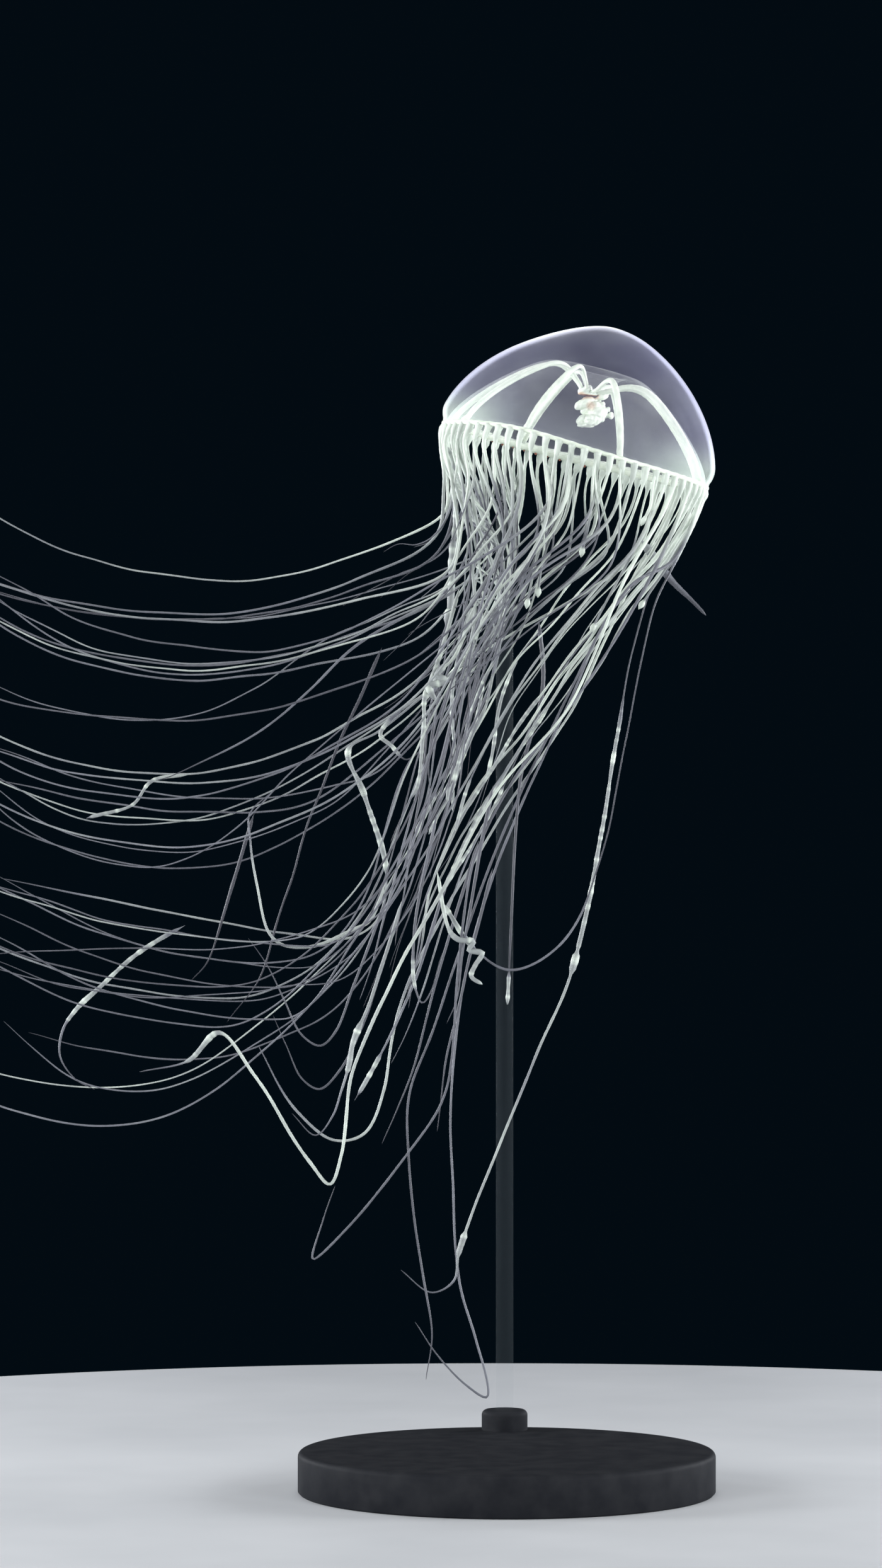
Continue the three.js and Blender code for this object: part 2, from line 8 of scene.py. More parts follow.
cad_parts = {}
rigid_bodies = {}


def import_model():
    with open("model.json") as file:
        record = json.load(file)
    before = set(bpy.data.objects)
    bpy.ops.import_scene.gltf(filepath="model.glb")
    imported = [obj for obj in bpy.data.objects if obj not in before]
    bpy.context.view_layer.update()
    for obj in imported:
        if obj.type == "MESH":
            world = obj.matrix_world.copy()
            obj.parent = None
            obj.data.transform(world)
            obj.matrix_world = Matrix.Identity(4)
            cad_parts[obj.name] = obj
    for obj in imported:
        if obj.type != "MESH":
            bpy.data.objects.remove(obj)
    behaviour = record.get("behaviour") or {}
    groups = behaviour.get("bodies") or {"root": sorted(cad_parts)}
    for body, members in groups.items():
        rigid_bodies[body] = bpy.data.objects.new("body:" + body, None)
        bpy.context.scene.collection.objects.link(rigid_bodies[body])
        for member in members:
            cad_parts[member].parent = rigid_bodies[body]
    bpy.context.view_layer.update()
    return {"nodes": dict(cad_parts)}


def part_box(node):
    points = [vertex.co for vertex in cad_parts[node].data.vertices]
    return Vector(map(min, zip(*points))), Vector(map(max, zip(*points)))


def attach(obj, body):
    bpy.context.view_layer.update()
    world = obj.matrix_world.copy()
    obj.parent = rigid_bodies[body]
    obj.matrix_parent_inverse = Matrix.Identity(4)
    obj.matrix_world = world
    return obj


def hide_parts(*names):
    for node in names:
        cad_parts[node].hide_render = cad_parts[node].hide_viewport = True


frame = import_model()
noise.seed_set(5)  # without it, noise_vector starts from the clock


# BELL
# The animal's body: a dome of clear jelly, thick over the crown and thin at the mouth. Its hollow underside
# drops in the middle into a short cone, the peduncle. A tough clear skin covers it and shines on edge, with
# a painted glow.
MM = 0.001
R = 20 * MM
D = 2 * R
GAP = 0.3 * MM
RING_CENTRE = Vector((10, 0, 149.5)) * MM
BELL_TILT = math.radians(14)
TILT = Matrix.Rotation(BELL_TILT, 4, "Y")
IN_BELL = Matrix.Translation(RING_CENTRE) @ TILT

BELL_HEIGHT = 0.945 * R
CROWN_RADIUS = 1.015 * R
CROWN_ROUNDNESS = 1.7
HOLLOW_RADIUS = 0.955 * R
HOLLOW_HEIGHT = 0.75 * R
HOLLOW_ROUNDNESS = 1.35
PEDUNCLE_LENGTH = 0.29 * R
PEDUNCLE_WIDTH = 0.205 * R
BELL_STEPS = 160
RIM_TUCK = 0.03 * R  # just above the rim the outside draws in by this much
TUCK_HEIGHT = 0.12 * R
SLUMP = 0.085  # of its height, which the crown loses on its -X flank
SLUMP_FROM = 0.35 * R
SLUMP_WIDTH = 0.95 * R
SLUMP_COVER = 0.12 * R  # of jelly over the hollow, through which the slump grows
NEAR_RISE = 0.04 * R
NEAR_RISE_AZIMUTH = math.radians(-28)
NEAR_RISE_SPREAD = math.radians(30)
FAR_RISE = 0.038 * R
RISE_FADES = 0.6 * R


def lerp(start, end, share):
    return start + (end - start) * share


def ease(share):
    share = min(max(share, 0.0), 1.0)
    return share * share * (3 - 2 * share)


def evenly(start, end, steps):
    return [lerp(start, end, k / steps) for k in range(steps + 1)]


def crown_point(turn):
    height = BELL_HEIGHT * max(0.0, math.cos(turn)) ** (2 / CROWN_ROUNDNESS)
    tuck = RIM_TUCK * max(0.0, 1 - height / TUCK_HEIGHT) ** 2
    return CROWN_RADIUS * math.sin(turn) ** (2 / CROWN_ROUNDNESS) - tuck, height


def hollow_height(radius):
    vault = max(0.0, 1 - (radius / HOLLOW_RADIUS) ** HOLLOW_ROUNDNESS) ** (1 / HOLLOW_ROUNDNESS)
    return HOLLOW_HEIGHT * vault - PEDUNCLE_LENGTH * math.exp(-((radius / PEDUNCLE_WIDTH) ** 2))


def rim_rise(azimuth):
    """The mouth's rim isn't level: it lifts a little on the near side, towards -X, and on the far side."""
    near = NEAR_RISE * math.exp(-(((azimuth - NEAR_RISE_AZIMUTH) / NEAR_RISE_SPREAD) ** 2))
    return near + FAR_RISE * ease(-math.cos(azimuth))


def rise_at(azimuth, height):
    """The rise of what stands above the rim, which fades with its height."""
    return rim_rise(azimuth) * (1 - ease(height / RISE_FADES))


def slump(x, radius, height):
    """The crown is lower on its -X flank. The hollow and the rim stay as they are."""
    cover = ease((height - hollow_height(min(radius, HOLLOW_RADIUS))) / SLUMP_COVER)
    return height * (1 - SLUMP * cover * ease((SLUMP_FROM - x) / SLUMP_WIDTH))


def lift_rim(bm):
    for vert in bm.verts:
        x, y, z = vert.co
        vert.co.z += rise_at(math.atan2(x, -y), z)


def turn_line(bm, line, steps):
    """Turns a line of (radius, height) once round the axis."""
    verts = [bm.verts.new((0, -radius, height)) for radius, height in line]
    edges = [bm.edges.new(pair) for pair in zip(verts, verts[1:])]
    bmesh.ops.spin(
        bm, geom=verts + edges, cent=(0, 0, 0), axis=(0, 0, 1), dvec=(0, 0, 0),
        angle=2 * math.pi, steps=steps, use_merge=True,
    )
    bmesh.ops.remove_doubles(bm, verts=bm.verts, dist=0.002 * MM)
    bmesh.ops.recalc_face_normals(bm, faces=bm.faces)


def add_object(name, data):
    thing = bpy.data.objects.new(name, data)
    bpy.context.scene.collection.objects.link(thing)
    return thing


def new_piece(name, bm, *finishes):
    mesh = bpy.data.meshes.new(name)
    bm.to_mesh(mesh)
    bm.free()
    mesh.shade_smooth()
    for finish in finishes:
        mesh.materials.append(finish)
    return add_object(name, mesh)


def add_node(tree, kind, values=None, **settings):
    node = tree.nodes.new(kind)
    for name, value in settings.items():
        setattr(node, name, value)
    for name, value in (values or {}).items():
        node.inputs[name].default_value = value
    return node


def join_sockets(tree, *pairs):
    for start, end in pairs:
        tree.links.new(start, end)


def new_finish(name, values):
    """A material with one Principled shader, and that shader."""
    finish = bpy.data.materials.new(name)
    finish.use_nodes = True
    shader = finish.node_tree.nodes["Principled BSDF"]
    for socket, value in values.items():
        shader.inputs[socket].default_value = value
    return finish, shader


# Mottled tissue: two colours in soft clouds, with a fine grain for the height of a bump.
mottle = bpy.data.node_groups.new("mottled_tissue", "ShaderNodeTree")
for socket in ("Colour", "Fleck"):
    mottle.interface.new_socket(socket, in_out="INPUT", socket_type="NodeSocketColor")
for socket in ("Clouds per metre", "Grain per metre"):
    mottle.interface.new_socket(socket, in_out="INPUT", socket_type="NodeSocketFloat")
mottle.interface.new_socket("Colour", in_out="OUTPUT", socket_type="NodeSocketColor")
mottle.interface.new_socket("Clouds", in_out="OUTPUT", socket_type="NodeSocketFloat")
mottle.interface.new_socket("Height", in_out="OUTPUT", socket_type="NodeSocketFloat")
given = mottle.nodes.new("NodeGroupInput")
made = mottle.nodes.new("NodeGroupOutput")
place = mottle.nodes.new("ShaderNodeTexCoord")
clouds = add_node(mottle, "ShaderNodeTexNoise", {"Detail": 3.0, "Roughness": 0.55})
grain = add_node(mottle, "ShaderNodeTexNoise", {"Detail": 2.0, "Roughness": 0.6})
spread = add_node(mottle, "ShaderNodeMapRange", {"From Min": 0.35, "From Max": 0.65})
blend = add_node(mottle, "ShaderNodeMix", data_type="RGBA")
join_sockets(
    mottle,
    (place.outputs["Object"], clouds.inputs["Vector"]),
    (place.outputs["Object"], grain.inputs["Vector"]),
    (given.outputs["Clouds per metre"], clouds.inputs["Scale"]),
    (given.outputs["Grain per metre"], grain.inputs["Scale"]),
    (clouds.outputs["Fac"], spread.inputs["Value"]),
    (spread.outputs["Result"], blend.inputs["Factor"]),
    (given.outputs["Colour"], blend.inputs[6]),
    (given.outputs["Fleck"], blend.inputs[7]),
    (blend.outputs[2], made.inputs["Colour"]),
    (spread.outputs["Result"], made.inputs["Clouds"]),
    (grain.outputs["Fac"], made.inputs["Height"]),
)


RELIEF_DEPTH = 0.2 * MM


def add_mottle(finish, shader, colour, fleck, clouds, grain, bump):
    """Gives a finish mottled tissue and its bump, and returns the group's node."""
    tree = finish.node_tree
    group = tree.nodes.new("ShaderNodeGroup")
    group.node_tree = mottle
    group.inputs["Colour"].default_value = (*colour, 1)
    group.inputs["Fleck"].default_value = (*fleck, 1)
    group.inputs["Clouds per metre"].default_value = clouds
    group.inputs["Grain per metre"].default_value = grain
    relief = add_node(tree, "ShaderNodeBump", {"Strength": bump, "Distance": RELIEF_DEPTH})
    join_sockets(
        tree,
        (group.outputs["Height"], relief.inputs["Height"]),
        (relief.outputs["Normal"], shader.inputs["Normal"]),
        (group.outputs["Colour"], shader.inputs["Base Color"]),
    )
    return group


EDGE_WIDTH = 0.14
MILK_AND_PAINTED_LIGHT_COVER = 0.1


def add_clear_skin(finish, shader, group, face_on, edge_on, edge_from):
    """Clear jelly lets light through face on, and its skin makes a crisp line where it is seen on edge.

    Where the mesh's attribute for it is high, the jelly is more opaque and whiter: partly cloudy jelly, and
    partly painted light.
    """
    tree = finish.node_tree
    weight = add_node(tree, "ShaderNodeLayerWeight", {"Blend": 0.5})
    edge = add_node(
        tree, "ShaderNodeMapRange",
        {"From Min": edge_from, "From Max": edge_from + EDGE_WIDTH, "To Max": edge_on},
        interpolation_type="SMOOTHSTEP",
    )
    deep = add_node(
        tree, "ShaderNodeMapRange", {"From Min": 0.3, "To Min": face_on, "To Max": 2.5 * face_on}
    )
    haze = add_node(tree, "ShaderNodeMapRange", {"To Min": 0.8, "To Max": 1.2})
    body = add_node(tree, "ShaderNodeMath", operation="MULTIPLY_ADD")
    milk_and_painted_light = add_node(tree, "ShaderNodeAttribute", attribute_name="milk_and_painted_light")
    cloudy_and_lit = add_node(tree, "ShaderNodeMath", operation="MULTIPLY_ADD", use_clamp=True)
    cloudy_and_lit.inputs[1].default_value = MILK_AND_PAINTED_LIGHT_COVER
    whiter = add_node(tree, "ShaderNodeMix", {7: (0.80, 0.92, 0.84, 1)}, data_type="RGBA")
    join_sockets(
        tree,
        (weight.outputs["Facing"], edge.inputs["Value"]),
        (weight.outputs["Facing"], deep.inputs["Value"]),
        (group.outputs["Clouds"], haze.inputs["Value"]),
        (deep.outputs["Result"], body.inputs[0]),
        (haze.outputs["Result"], body.inputs[1]),
        (edge.outputs["Result"], body.inputs[2]),
        (milk_and_painted_light.outputs["Fac"], cloudy_and_lit.inputs[0]),
        (body.outputs[0], cloudy_and_lit.inputs[2]),
        (cloudy_and_lit.outputs[0], shader.inputs["Alpha"]),
        (milk_and_painted_light.outputs["Fac"], whiter.inputs["Factor"]),
        (group.outputs["Colour"], whiter.inputs[6]),
        (whiter.outputs[2], shader.inputs["Base Color"]),
    )


# The outer skin's Emission is a painted glow: a faint violet light in the jelly, strongest where its edge
# is most opaque.
outer_skin, shader = new_finish("outer_skin", {
    "Roughness": 0.45, "IOR": 1.2, "Sheen Weight": 1.0, "Sheen Roughness": 0.3,
    "Emission Color": (0.66, 0.70, 0.92, 1), "Emission Strength": 0.1,
})
group = add_mottle(outer_skin, shader, (0.58, 0.58, 0.90), (0.70, 0.72, 0.94), 120, 900, 0.05)
add_clear_skin(outer_skin, shader, group, 0.062, 0.42, 0.70)
under_skin, shader = new_finish("under_skin", {"Roughness": 0.5, "IOR": 1.2})
group = add_mottle(under_skin, shader, (0.60, 0.60, 0.66), (0.76, 0.80, 0.78), 160, 900, 0.05)
add_clear_skin(under_skin, shader, group, 0.05, 0.12, 0.7)


def milk_and_painted_light_at(place):
    """The jelly is cloudy just above the rim, most of all towards both of its ±X ends, where the extra
    whiteness is painted light from the side lamps.
    """
    low = 1 - ease((place.z - 0.02 * R) / (0.3 * R))
    return low * (0.15 + 0.85 * ease((abs(place.x) - 0.35 * R) / (0.5 * R)))


LIP_DEPTH = 0.03 * R

bm = bmesh.new()
hollow = [(radius, hollow_height(radius)) for radius in evenly(0, 0.9 * R, 45)]
hollow += [(radius, hollow_height(radius)) for radius in evenly(0.91 * R, 0.95 * R, 6)]
lip_turns = evenly(math.pi, 0, 6)
lip_middle = (HOLLOW_RADIUS + CROWN_RADIUS - RIM_TUCK) / 2
lip_width = (CROWN_RADIUS - RIM_TUCK - HOLLOW_RADIUS) / 2
lip = [(lip_middle + lip_width * math.cos(turn), -LIP_DEPTH * math.sin(turn)) for turn in lip_turns]
crown = [crown_point(turn) for turn in evenly(math.pi / 2 - 0.04, 0, 60)]
turn_line(bm, hollow + lip + crown, BELL_STEPS)
heart = Vector((0, 0, 0.1 * R))
for face in bm.faces:
    middle = face.calc_center_median()
    is_outside = face.normal.dot(middle - heart) > 0 and middle.xy.length > 0.001 * R
    is_above = middle.z > hollow_height(min(middle.xy.length, HOLLOW_RADIUS)) + 0.02 * R
    face.material_index = 0 if is_outside and (is_above or middle.z < 0.02 * R) else 1
# Cloudy jelly just above the rim, with painted light from the side lamps at its ±X ends
milk_and_painted_light = bm.verts.layers.float.new("milk_and_painted_light")
for vert in bm.verts:
    vert[milk_and_painted_light] = milk_and_painted_light_at(vert.co)
    vert.co.z = slump(vert.co.x, vert.co.xy.length, vert.co.z)
lift_rim(bm)
bm.transform(IN_BELL)
bell = new_piece("bell_jelly", bm, outer_skin, under_skin)
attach(bell, "root")
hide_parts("bell")


# VELUM
# A thin shelf of clear skin just inside the mouth, which every hydromedusa has. It droops a little, its
# free edge is a fine muscle, and it is moulded with the rim.
VELUM_OUTER = 0.95 * R
VELUM_INNER = 0.78 * R
VELUM_DROOP = 0.03 * R
VELUM_THICKNESS = 0.25 * MM
VELUM_EDGE = 0.2 * MM
VELUM_RIPPLE = 0.006 * R

velum_skin, shader = new_finish("velum_skin", {"Roughness": 0.35, "IOR": 1.34})
group = add_mottle(velum_skin, shader, (0.66, 0.68, 0.78), (0.80, 0.84, 0.86), 300, 2000, 0.15)
add_clear_skin(velum_skin, shader, group, 0.03, 0.04, 0.7)

bm = bmesh.new()
top = [
    (radius, -VELUM_DROOP * (1 - (radius - VELUM_INNER) / (VELUM_OUTER - VELUM_INNER)) ** 1.5)
    for radius in evenly(VELUM_INNER, VELUM_OUTER, 10)
]
edge = [
    (VELUM_INNER - VELUM_EDGE * math.sin(turn), -VELUM_DROOP - VELUM_EDGE * math.cos(turn))
    for turn in evenly(0, math.pi, 8)
]
under = [(radius, height - VELUM_THICKNESS) for radius, height in reversed(top)]
turn_line(bm, edge + top[1:] + under[:-1] + edge[:1], BELL_STEPS)
for vert in bm.verts:
    azimuth = math.atan2(vert.co.x, -vert.co.y)
    free = 1 - (vert.co.xy.length - VELUM_INNER) / (VELUM_OUTER - VELUM_INNER)
    vert.co.z += rim_rise(azimuth) + VELUM_RIPPLE * free * math.sin(11 * azimuth) * math.cos(4 * azimuth)
bm.transform(IN_BELL)
velum = new_piece("velum_shelf", bm, velum_skin)
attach(velum, "root")
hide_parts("velum")


# STOMACH
# A small cushion of pale tissue under the tip of the peduncle, where the canals' ends meet. Its floor shows
# as a thin red-brown line. It and the mouth are modelled in wax, lobe by lobe, and cast.
def add_tones(finish, shader, group, attribute, tones, middle_at):
    """Tints the tissue with three tones in turn, as the mesh's attribute goes from 0 to 1."""
    tree = finish.node_tree
    value = add_node(tree, "ShaderNodeAttribute", attribute_name=attribute)
    ramp = add_node(tree, "ShaderNodeValToRGB")
    stops = ramp.color_ramp.elements
    first, middle, last = ((*tone, 1) for tone in tones)
    stops[0].color = first
    stops[1].color = last
    stops.new(middle_at).color = middle
    tint = add_node(tree, "ShaderNodeMix", {"Factor": 1.0}, data_type="RGBA", blend_type="MULTIPLY")
    join_sockets(
        tree,
        (value.outputs["Fac"], ramp.inputs["Fac"]),
        (ramp.outputs["Color"], tint.inputs[6]),
        (group.outputs["Colour"], tint.inputs[7]),
        (tint.outputs[2], shader.inputs["Base Color"]),
    )


WHITE = (1, 1, 1)
BLUSH_AT = 0.45
LOBES_FROM = RING_CENTRE + Vector((0.35, 0, -0.53)) * MM
WAX_GRAIN = 0.07


def as_shaped(draft):
    """A bmesh of what a draft object's modifiers or bevel make of it. The draft is cleared away."""
    mesh = bpy.data.meshes.new_from_object(draft.evaluated_get(bpy.context.evaluated_depsgraph_get()))
    bpy.data.batch_remove([draft, draft.data])
    bm = bmesh.new()
    bm.from_mesh(mesh)
    bpy.data.meshes.remove(mesh)
    return bm


def lobed(name, lobes, ruffle, flush_and_shade_at, *finishes):
    """One smooth, finely ruffled lump of lobes, in millimetres from a place near the middle of the mouth.

    A lobe is its middle (across, back, up), its half sizes (across, back, up) and its tilt in degrees.
    """
    bm = bmesh.new()
    for across, back, up, wide, deep, tall, tilt in lobes:
        sizes = Matrix.Diagonal((wide, deep, tall, 1))
        turned = Matrix.Rotation(math.radians(-tilt), 4, "Y")
        place = Matrix.Translation((across, back, up)) @ turned @ sizes
        bmesh.ops.create_icosphere(bm, subdivisions=4, radius=1, matrix=place)
    draft_mesh = bpy.data.meshes.new(name + "_draft")
    bm.to_mesh(draft_mesh)
    bm.free()
    draft = add_object(name + "_draft", draft_mesh)
    weld = draft.modifiers.new("weld", "REMESH")
    weld.mode = "VOXEL"
    weld.voxel_size = WAX_GRAIN
    relax = draft.modifiers.new("relax", "SMOOTH")
    relax.factor, relax.iterations = 0.5, 4
    bm = as_shaped(draft)
    bm.normal_update()
    layer = bm.verts.layers.float.new("flush_and_shade")
    moves = []
    for vert in bm.verts:
        vert[layer] = flush_and_shade_at(vert.co)
        folds = noise.noise(vert.co * 0.9) + 0.6 * noise.noise(vert.co * 2.1)
        moves.append(vert.normal * ruffle * folds)
    for vert, move in zip(bm.verts, moves):
        vert.co = LOBES_FROM + (vert.co + move) * MM
    return new_piece(name, bm, *finishes)


def new_tissue(name, roughness, soaked, depth):
    """Pale tissue, into which a share of the light soaks as far as depth."""
    return new_finish(name, {
        "Roughness": roughness, "Subsurface Weight": soaked, "Subsurface Scale": depth,
        "Subsurface Radius": (1, 1, 1),
    })


stomach_tissue, shader = new_tissue("stomach_tissue", 0.4, 0.3, 0.5 * MM)
group = add_mottle(stomach_tissue, shader, (0.64, 0.72, 0.64), (0.76, 0.80, 0.72), 900, 3000, 0.3)
stomach_tones = (WHITE, (0.95, 0.60, 0.46), (0.18, 0.05, 0.05))
add_tones(stomach_tissue, shader, group, "flush_and_shade", stomach_tones, BLUSH_AT)


def stomach_flush(place):
    """The floor is red-brown, and the tissue above it blushes on its -X side."""
    level = place.z + 0.08 * (place.x - 1.4)
    return max(ease((8.68 - level) / 0.22), 0.4 * ease((9.05 - level) / 0.4) * ease((1.4 - place.x) / 1.2))


STOMACH_LOBES = (
    (1.35, 0.0, 8.72, 1.5, 1.4, 0.36, -4),
    (0.95, -0.4, 9.25, 1.05, 1.1, 0.62, 25),
    (2.0, 0.2, 8.95, 0.95, 1.1, 0.4, -10),
    (0.5, 0.1, 9.2, 0.7, 1.0, 0.55, 40),
)
stomach = lobed("stomach_cushion", STOMACH_LOBES, 0.1, stomach_flush, stomach_tissue)
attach(stomach, "root")
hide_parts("stomach")


# MOUTH
# The manubrium, a short folded tube, opens into four white lips that are gathered into frills. They are the
# brightest thing in the bell, like the curd of a cauliflower.
mouth_tissue, shader = new_tissue("mouth_tissue", 0.4, 0.35, 0.6 * MM)
group = add_mottle(mouth_tissue, shader, (0.69, 0.75, 0.66), (0.80, 0.85, 0.75), 700, 2500, 0.35)
mouth_tones = (WHITE, (0.95, 0.70, 0.62), (0.5, 0.2, 0.17))
add_tones(mouth_tissue, shader, group, "flush_and_shade", mouth_tones, BLUSH_AT)


def mouth_flush_and_shade(place):
    """The tissue is tinted pink towards its top, under the stomach, and the pink-brown in the fold between
    the throat's lobes is painted shade.
    """
    under = ease((place.z - 7.75) / 0.5) * ease((3.2 - place.x) / 0.6)
    # Painted shade in the fold where the throat's lobes meet
    painted_fold_shade = 1 - ease(((place.xz - Vector((1.75, 6.95))).length - 0.25) / 0.7)
    return max(0.55 * under, 0.4 * painted_fold_shade)


THROAT_LOBES = (
    # the throat
    (1.9, 0.1, 7.6, 0.9, 1.0, 0.75, 0),
    # the lobe at -X, drawn out up and across, and the one at +X, which runs into a canal's end
    (0.8, -0.6, 7.36, 1.5, 1.0, 0.78, 26),
    (3.5, -0.1, 8.4, 0.85, 0.8, 0.56, 15),
    (2.8, 0.0, 8.15, 0.6, 0.6, 0.3, 20),
    # the lobes behind
    (1.2, 1.3, 7.5, 1.1, 0.8, 0.6, 10),
    (2.6, 1.2, 7.7, 0.8, 0.8, 0.5, -20),
)
LIP_LOBES = (
    # the middle, which the four lips come from
    (2.55, 0.0, 6.25, 1.5, 1.5, 1.5, 0),
    (2.2, -0.6, 6.8, 1.0, 1.1, 0.9, 30),
    (1.25, -0.1, 6.55, 1.1, 0.9, 0.62, 25),
    (2.9, -0.8, 5.9, 1.2, 1.1, 1.1, 10),
    # the lip at -X, and its lower edge
    (0.48, -0.4, 5.0, 0.95, 0.9, 0.64, 25),
    (1.2, -0.3, 5.35, 0.6, 0.8, 0.5, 40),
    (1.0, -0.5, 4.22, 1.25, 1.0, 0.36, 0),
    # the lip towards -Y
    (2.0, -1.0, 4.95, 1.35, 1.0, 0.8, 14),
    (1.7, -1.5, 5.2, 0.8, 0.6, 0.5, 0),
    # the lip at +X, which ends in small knobs
    (3.4, -0.2, 6.1, 0.75, 0.9, 0.7, 0),
    (3.5, -0.5, 7.15, 0.46, 0.55, 0.42, -30),
    (3.1, -0.2, 6.95, 0.5, 0.7, 0.4, 0),
    (4.1, -0.4, 6.5, 0.44, 0.55, 0.42, 20),
    (4.0, 0.1, 5.65, 0.6, 0.5, 0.38, -10),
    (4.55, -0.1, 5.6, 0.46, 0.5, 0.46, 0),
    # the lip behind
    (2.2, 1.5, 5.6, 1.2, 1.0, 0.7, 0),
    (1.3, 1.8, 5.0, 0.8, 0.7, 0.5, 10),
    (3.2, 1.7, 5.3, 0.7, 0.7, 0.5, -15),
)
manubrium = lobed("manubrium_folds", THROAT_LOBES, 0.15, mouth_flush_and_shade, mouth_tissue)
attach(manubrium, "root")
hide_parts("manubrium")
lips = lobed("lips_frill", LIP_LOBES, 0.2, mouth_flush_and_shade, mouth_tissue)
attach(lips, "root")
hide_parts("lips")


# RADIAL CANALS
# Eight opaque white cords, thickened by the gonads, climb the hollow from the rim, turn over at the foot of
# the peduncle and run down it to the stomach. Those on the +X side hang a little free of the hollow's top.
CANAL_AZIMUTHS = [math.radians(a) for a in (-60, -24, 18, 71, 106, 159, 204, 258)]
CANAL_RADIUS = 0.0225 * R
CANAL_OUTER = 0.95 * R
RIM_RADIUS = 0.965 * R
CANAL_INNER = 0.1 * R
CANAL_STEPS = 90
HANG_RADIUS = 5 * MM  # where a canal hangs furthest below the hollow, and how wide that sag is
HANG_SPREAD = 3.2 * MM


def around(azimuth, radius, height):
    """Azimuth 0 faces -Y and a quarter turn faces +X."""
    return Vector((radius * math.sin(azimuth), -radius * math.cos(azimuth), height))


def add_tubes(name, routes, sides, *finishes, cyclic=False):
    """One mesh of round tubes. Each route is a list of (point, radius, paleness)."""
    line = bpy.data.curves.new(name + "_line", "CURVE")
    line.dimensions = "3D"
    line.bevel_depth = 1.0
    line.bevel_resolution = (sides - 4) // 2  # a bevel has four sides, and two more for each step of this
    line.use_fill_caps = not cyclic
    for route in routes:
        spline = line.splines.new("POLY")
        spline.points.add(len(route) - 1)
        spline.use_cyclic_u = cyclic
        for point, (place, radius, paleness_and_shade) in zip(spline.points, route):
            point.co = (*place, 1)
            point.radius = radius
    bm = as_shaped(add_object(name + "_draft", line))
    bmesh.ops.remove_doubles(bm, verts=bm.verts, dist=0.001 * MM)
    bmesh.ops.recalc_face_normals(bm, faces=bm.faces)
    stations = [(place, paleness_and_shade) for route in routes for place, radius, paleness_and_shade in route]
    nearby = kdtree.KDTree(len(stations))
    for k, (place, paleness_and_shade) in enumerate(stations):
        nearby.insert(place, k)
    nearby.balance()
    layer = bm.verts.layers.float.new("paleness_and_shade")
    for vert in bm.verts:
        vert[layer] = stations[nearby.find(vert.co)[1]][1]
    return new_piece(name, bm, *finishes)


canal_tissue, shader = new_tissue("canal_tissue", 0.5, 0.3, 0.5 * MM)
add_mottle(canal_tissue, shader, (0.63, 0.70, 0.60), (0.77, 0.83, 0.72), 500, 2600, 0.3)

canal_routes = []
for number, azimuth in enumerate(CANAL_AZIMUTHS):
    route = []
    hang = ease((math.sin(azimuth) + 0.2) / 0.5) * lerp(0.75, 1.25, abs(math.cos(azimuth))) * MM
    for radius in evenly(CANAL_OUTER, CANAL_INNER, CANAL_STEPS):
        slope = (hollow_height(radius + 0.01 * R) - hollow_height(radius - 0.01 * R)) / (0.02 * R)
        steepness = math.hypot(1, slope)
        inward = (radius - CANAL_INNER) / (CANAL_OUTER - CANAL_INNER)
        wider = 0.14 * math.sin(azimuth) - 0.1 * abs(math.cos(azimuth))
        thick = CANAL_RADIUS * (lerp(0.66, 1.08, ease(inward / 0.5)) + wider)
        thick *= 1 + 0.08 * noise.noise(Vector((number, 40 * radius / R, 0)))
        offset = CANAL_RADIUS * 0.9
        out, down = offset * slope / steepness, offset / steepness
        place = around(azimuth, radius + out, hollow_height(radius) - down)
        place.z += rise_at(azimuth, place.z)
        place.z -= hang * math.exp(-(((radius - HANG_RADIUS) / HANG_SPREAD) ** 2))
        route.append((IN_BELL @ place, thick, 1))
    foot = around(azimuth, RIM_RADIUS, rim_rise(azimuth) - 0.5 * MM)
    route.insert(0, (IN_BELL @ foot, route[0][1], 1))
    mouthwards = LOBES_FROM + Vector((1.3 + 0.7 * math.sin(azimuth), -0.5 * math.cos(azimuth), 8.95)) * MM
    last, before = route[-1][0], route[-4][0]
    for share in evenly(0, 1, 10)[1:]:
        place = last.lerp(mouthwards, share) + (last - before) * 1.2 * share * (1 - share)
        route.append((place, thick, 1))
    canal_routes.append(route)
canals = add_tubes("radial_canals", canal_routes, 12, canal_tissue)
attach(canals, "root")
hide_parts(*[f"canal_{k + 1}" for k in range(len(CANAL_AZIMUTHS))])


# RIM
# A cord of white, slightly lumpy tissue rings the mouth and carries the tentacles. It swells a little at
# each of them, and is fuller on its far side. It is cast in one length and closed on itself.
RIM_CORD = 0.0225 * R
RIM_HEIGHT = -GAP - RIM_CORD
RIM_STEPS = 384
TENTACLES = 64


def rim_point(azimuth, below):
    """A point on the rim's cord, or below it, from the middle of the mouth."""
    return TILT @ around(azimuth, RIM_RADIUS, RIM_HEIGHT + rim_rise(azimuth) - below)


rim_route = []
for k in range(RIM_STEPS):
    azimuth = 2 * math.pi * k / RIM_STEPS - math.pi
    swell = 1 + 0.08 * math.cos(TENTACLES * (azimuth - math.pi / TENTACLES))
    swell += 0.05 * noise.noise(Vector((k * 0.15, 0, 3)))
    swell *= 1 - 0.25 * ease(math.cos(azimuth)) + 0.45 * ease(-math.cos(azimuth))
    rim_route.append((RING_CENTRE + rim_point(azimuth, 0), RIM_CORD * swell, 1))
rim = add_tubes("rim_cord", [rim_route], 12, canal_tissue, cyclic=True)
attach(rim, "root")


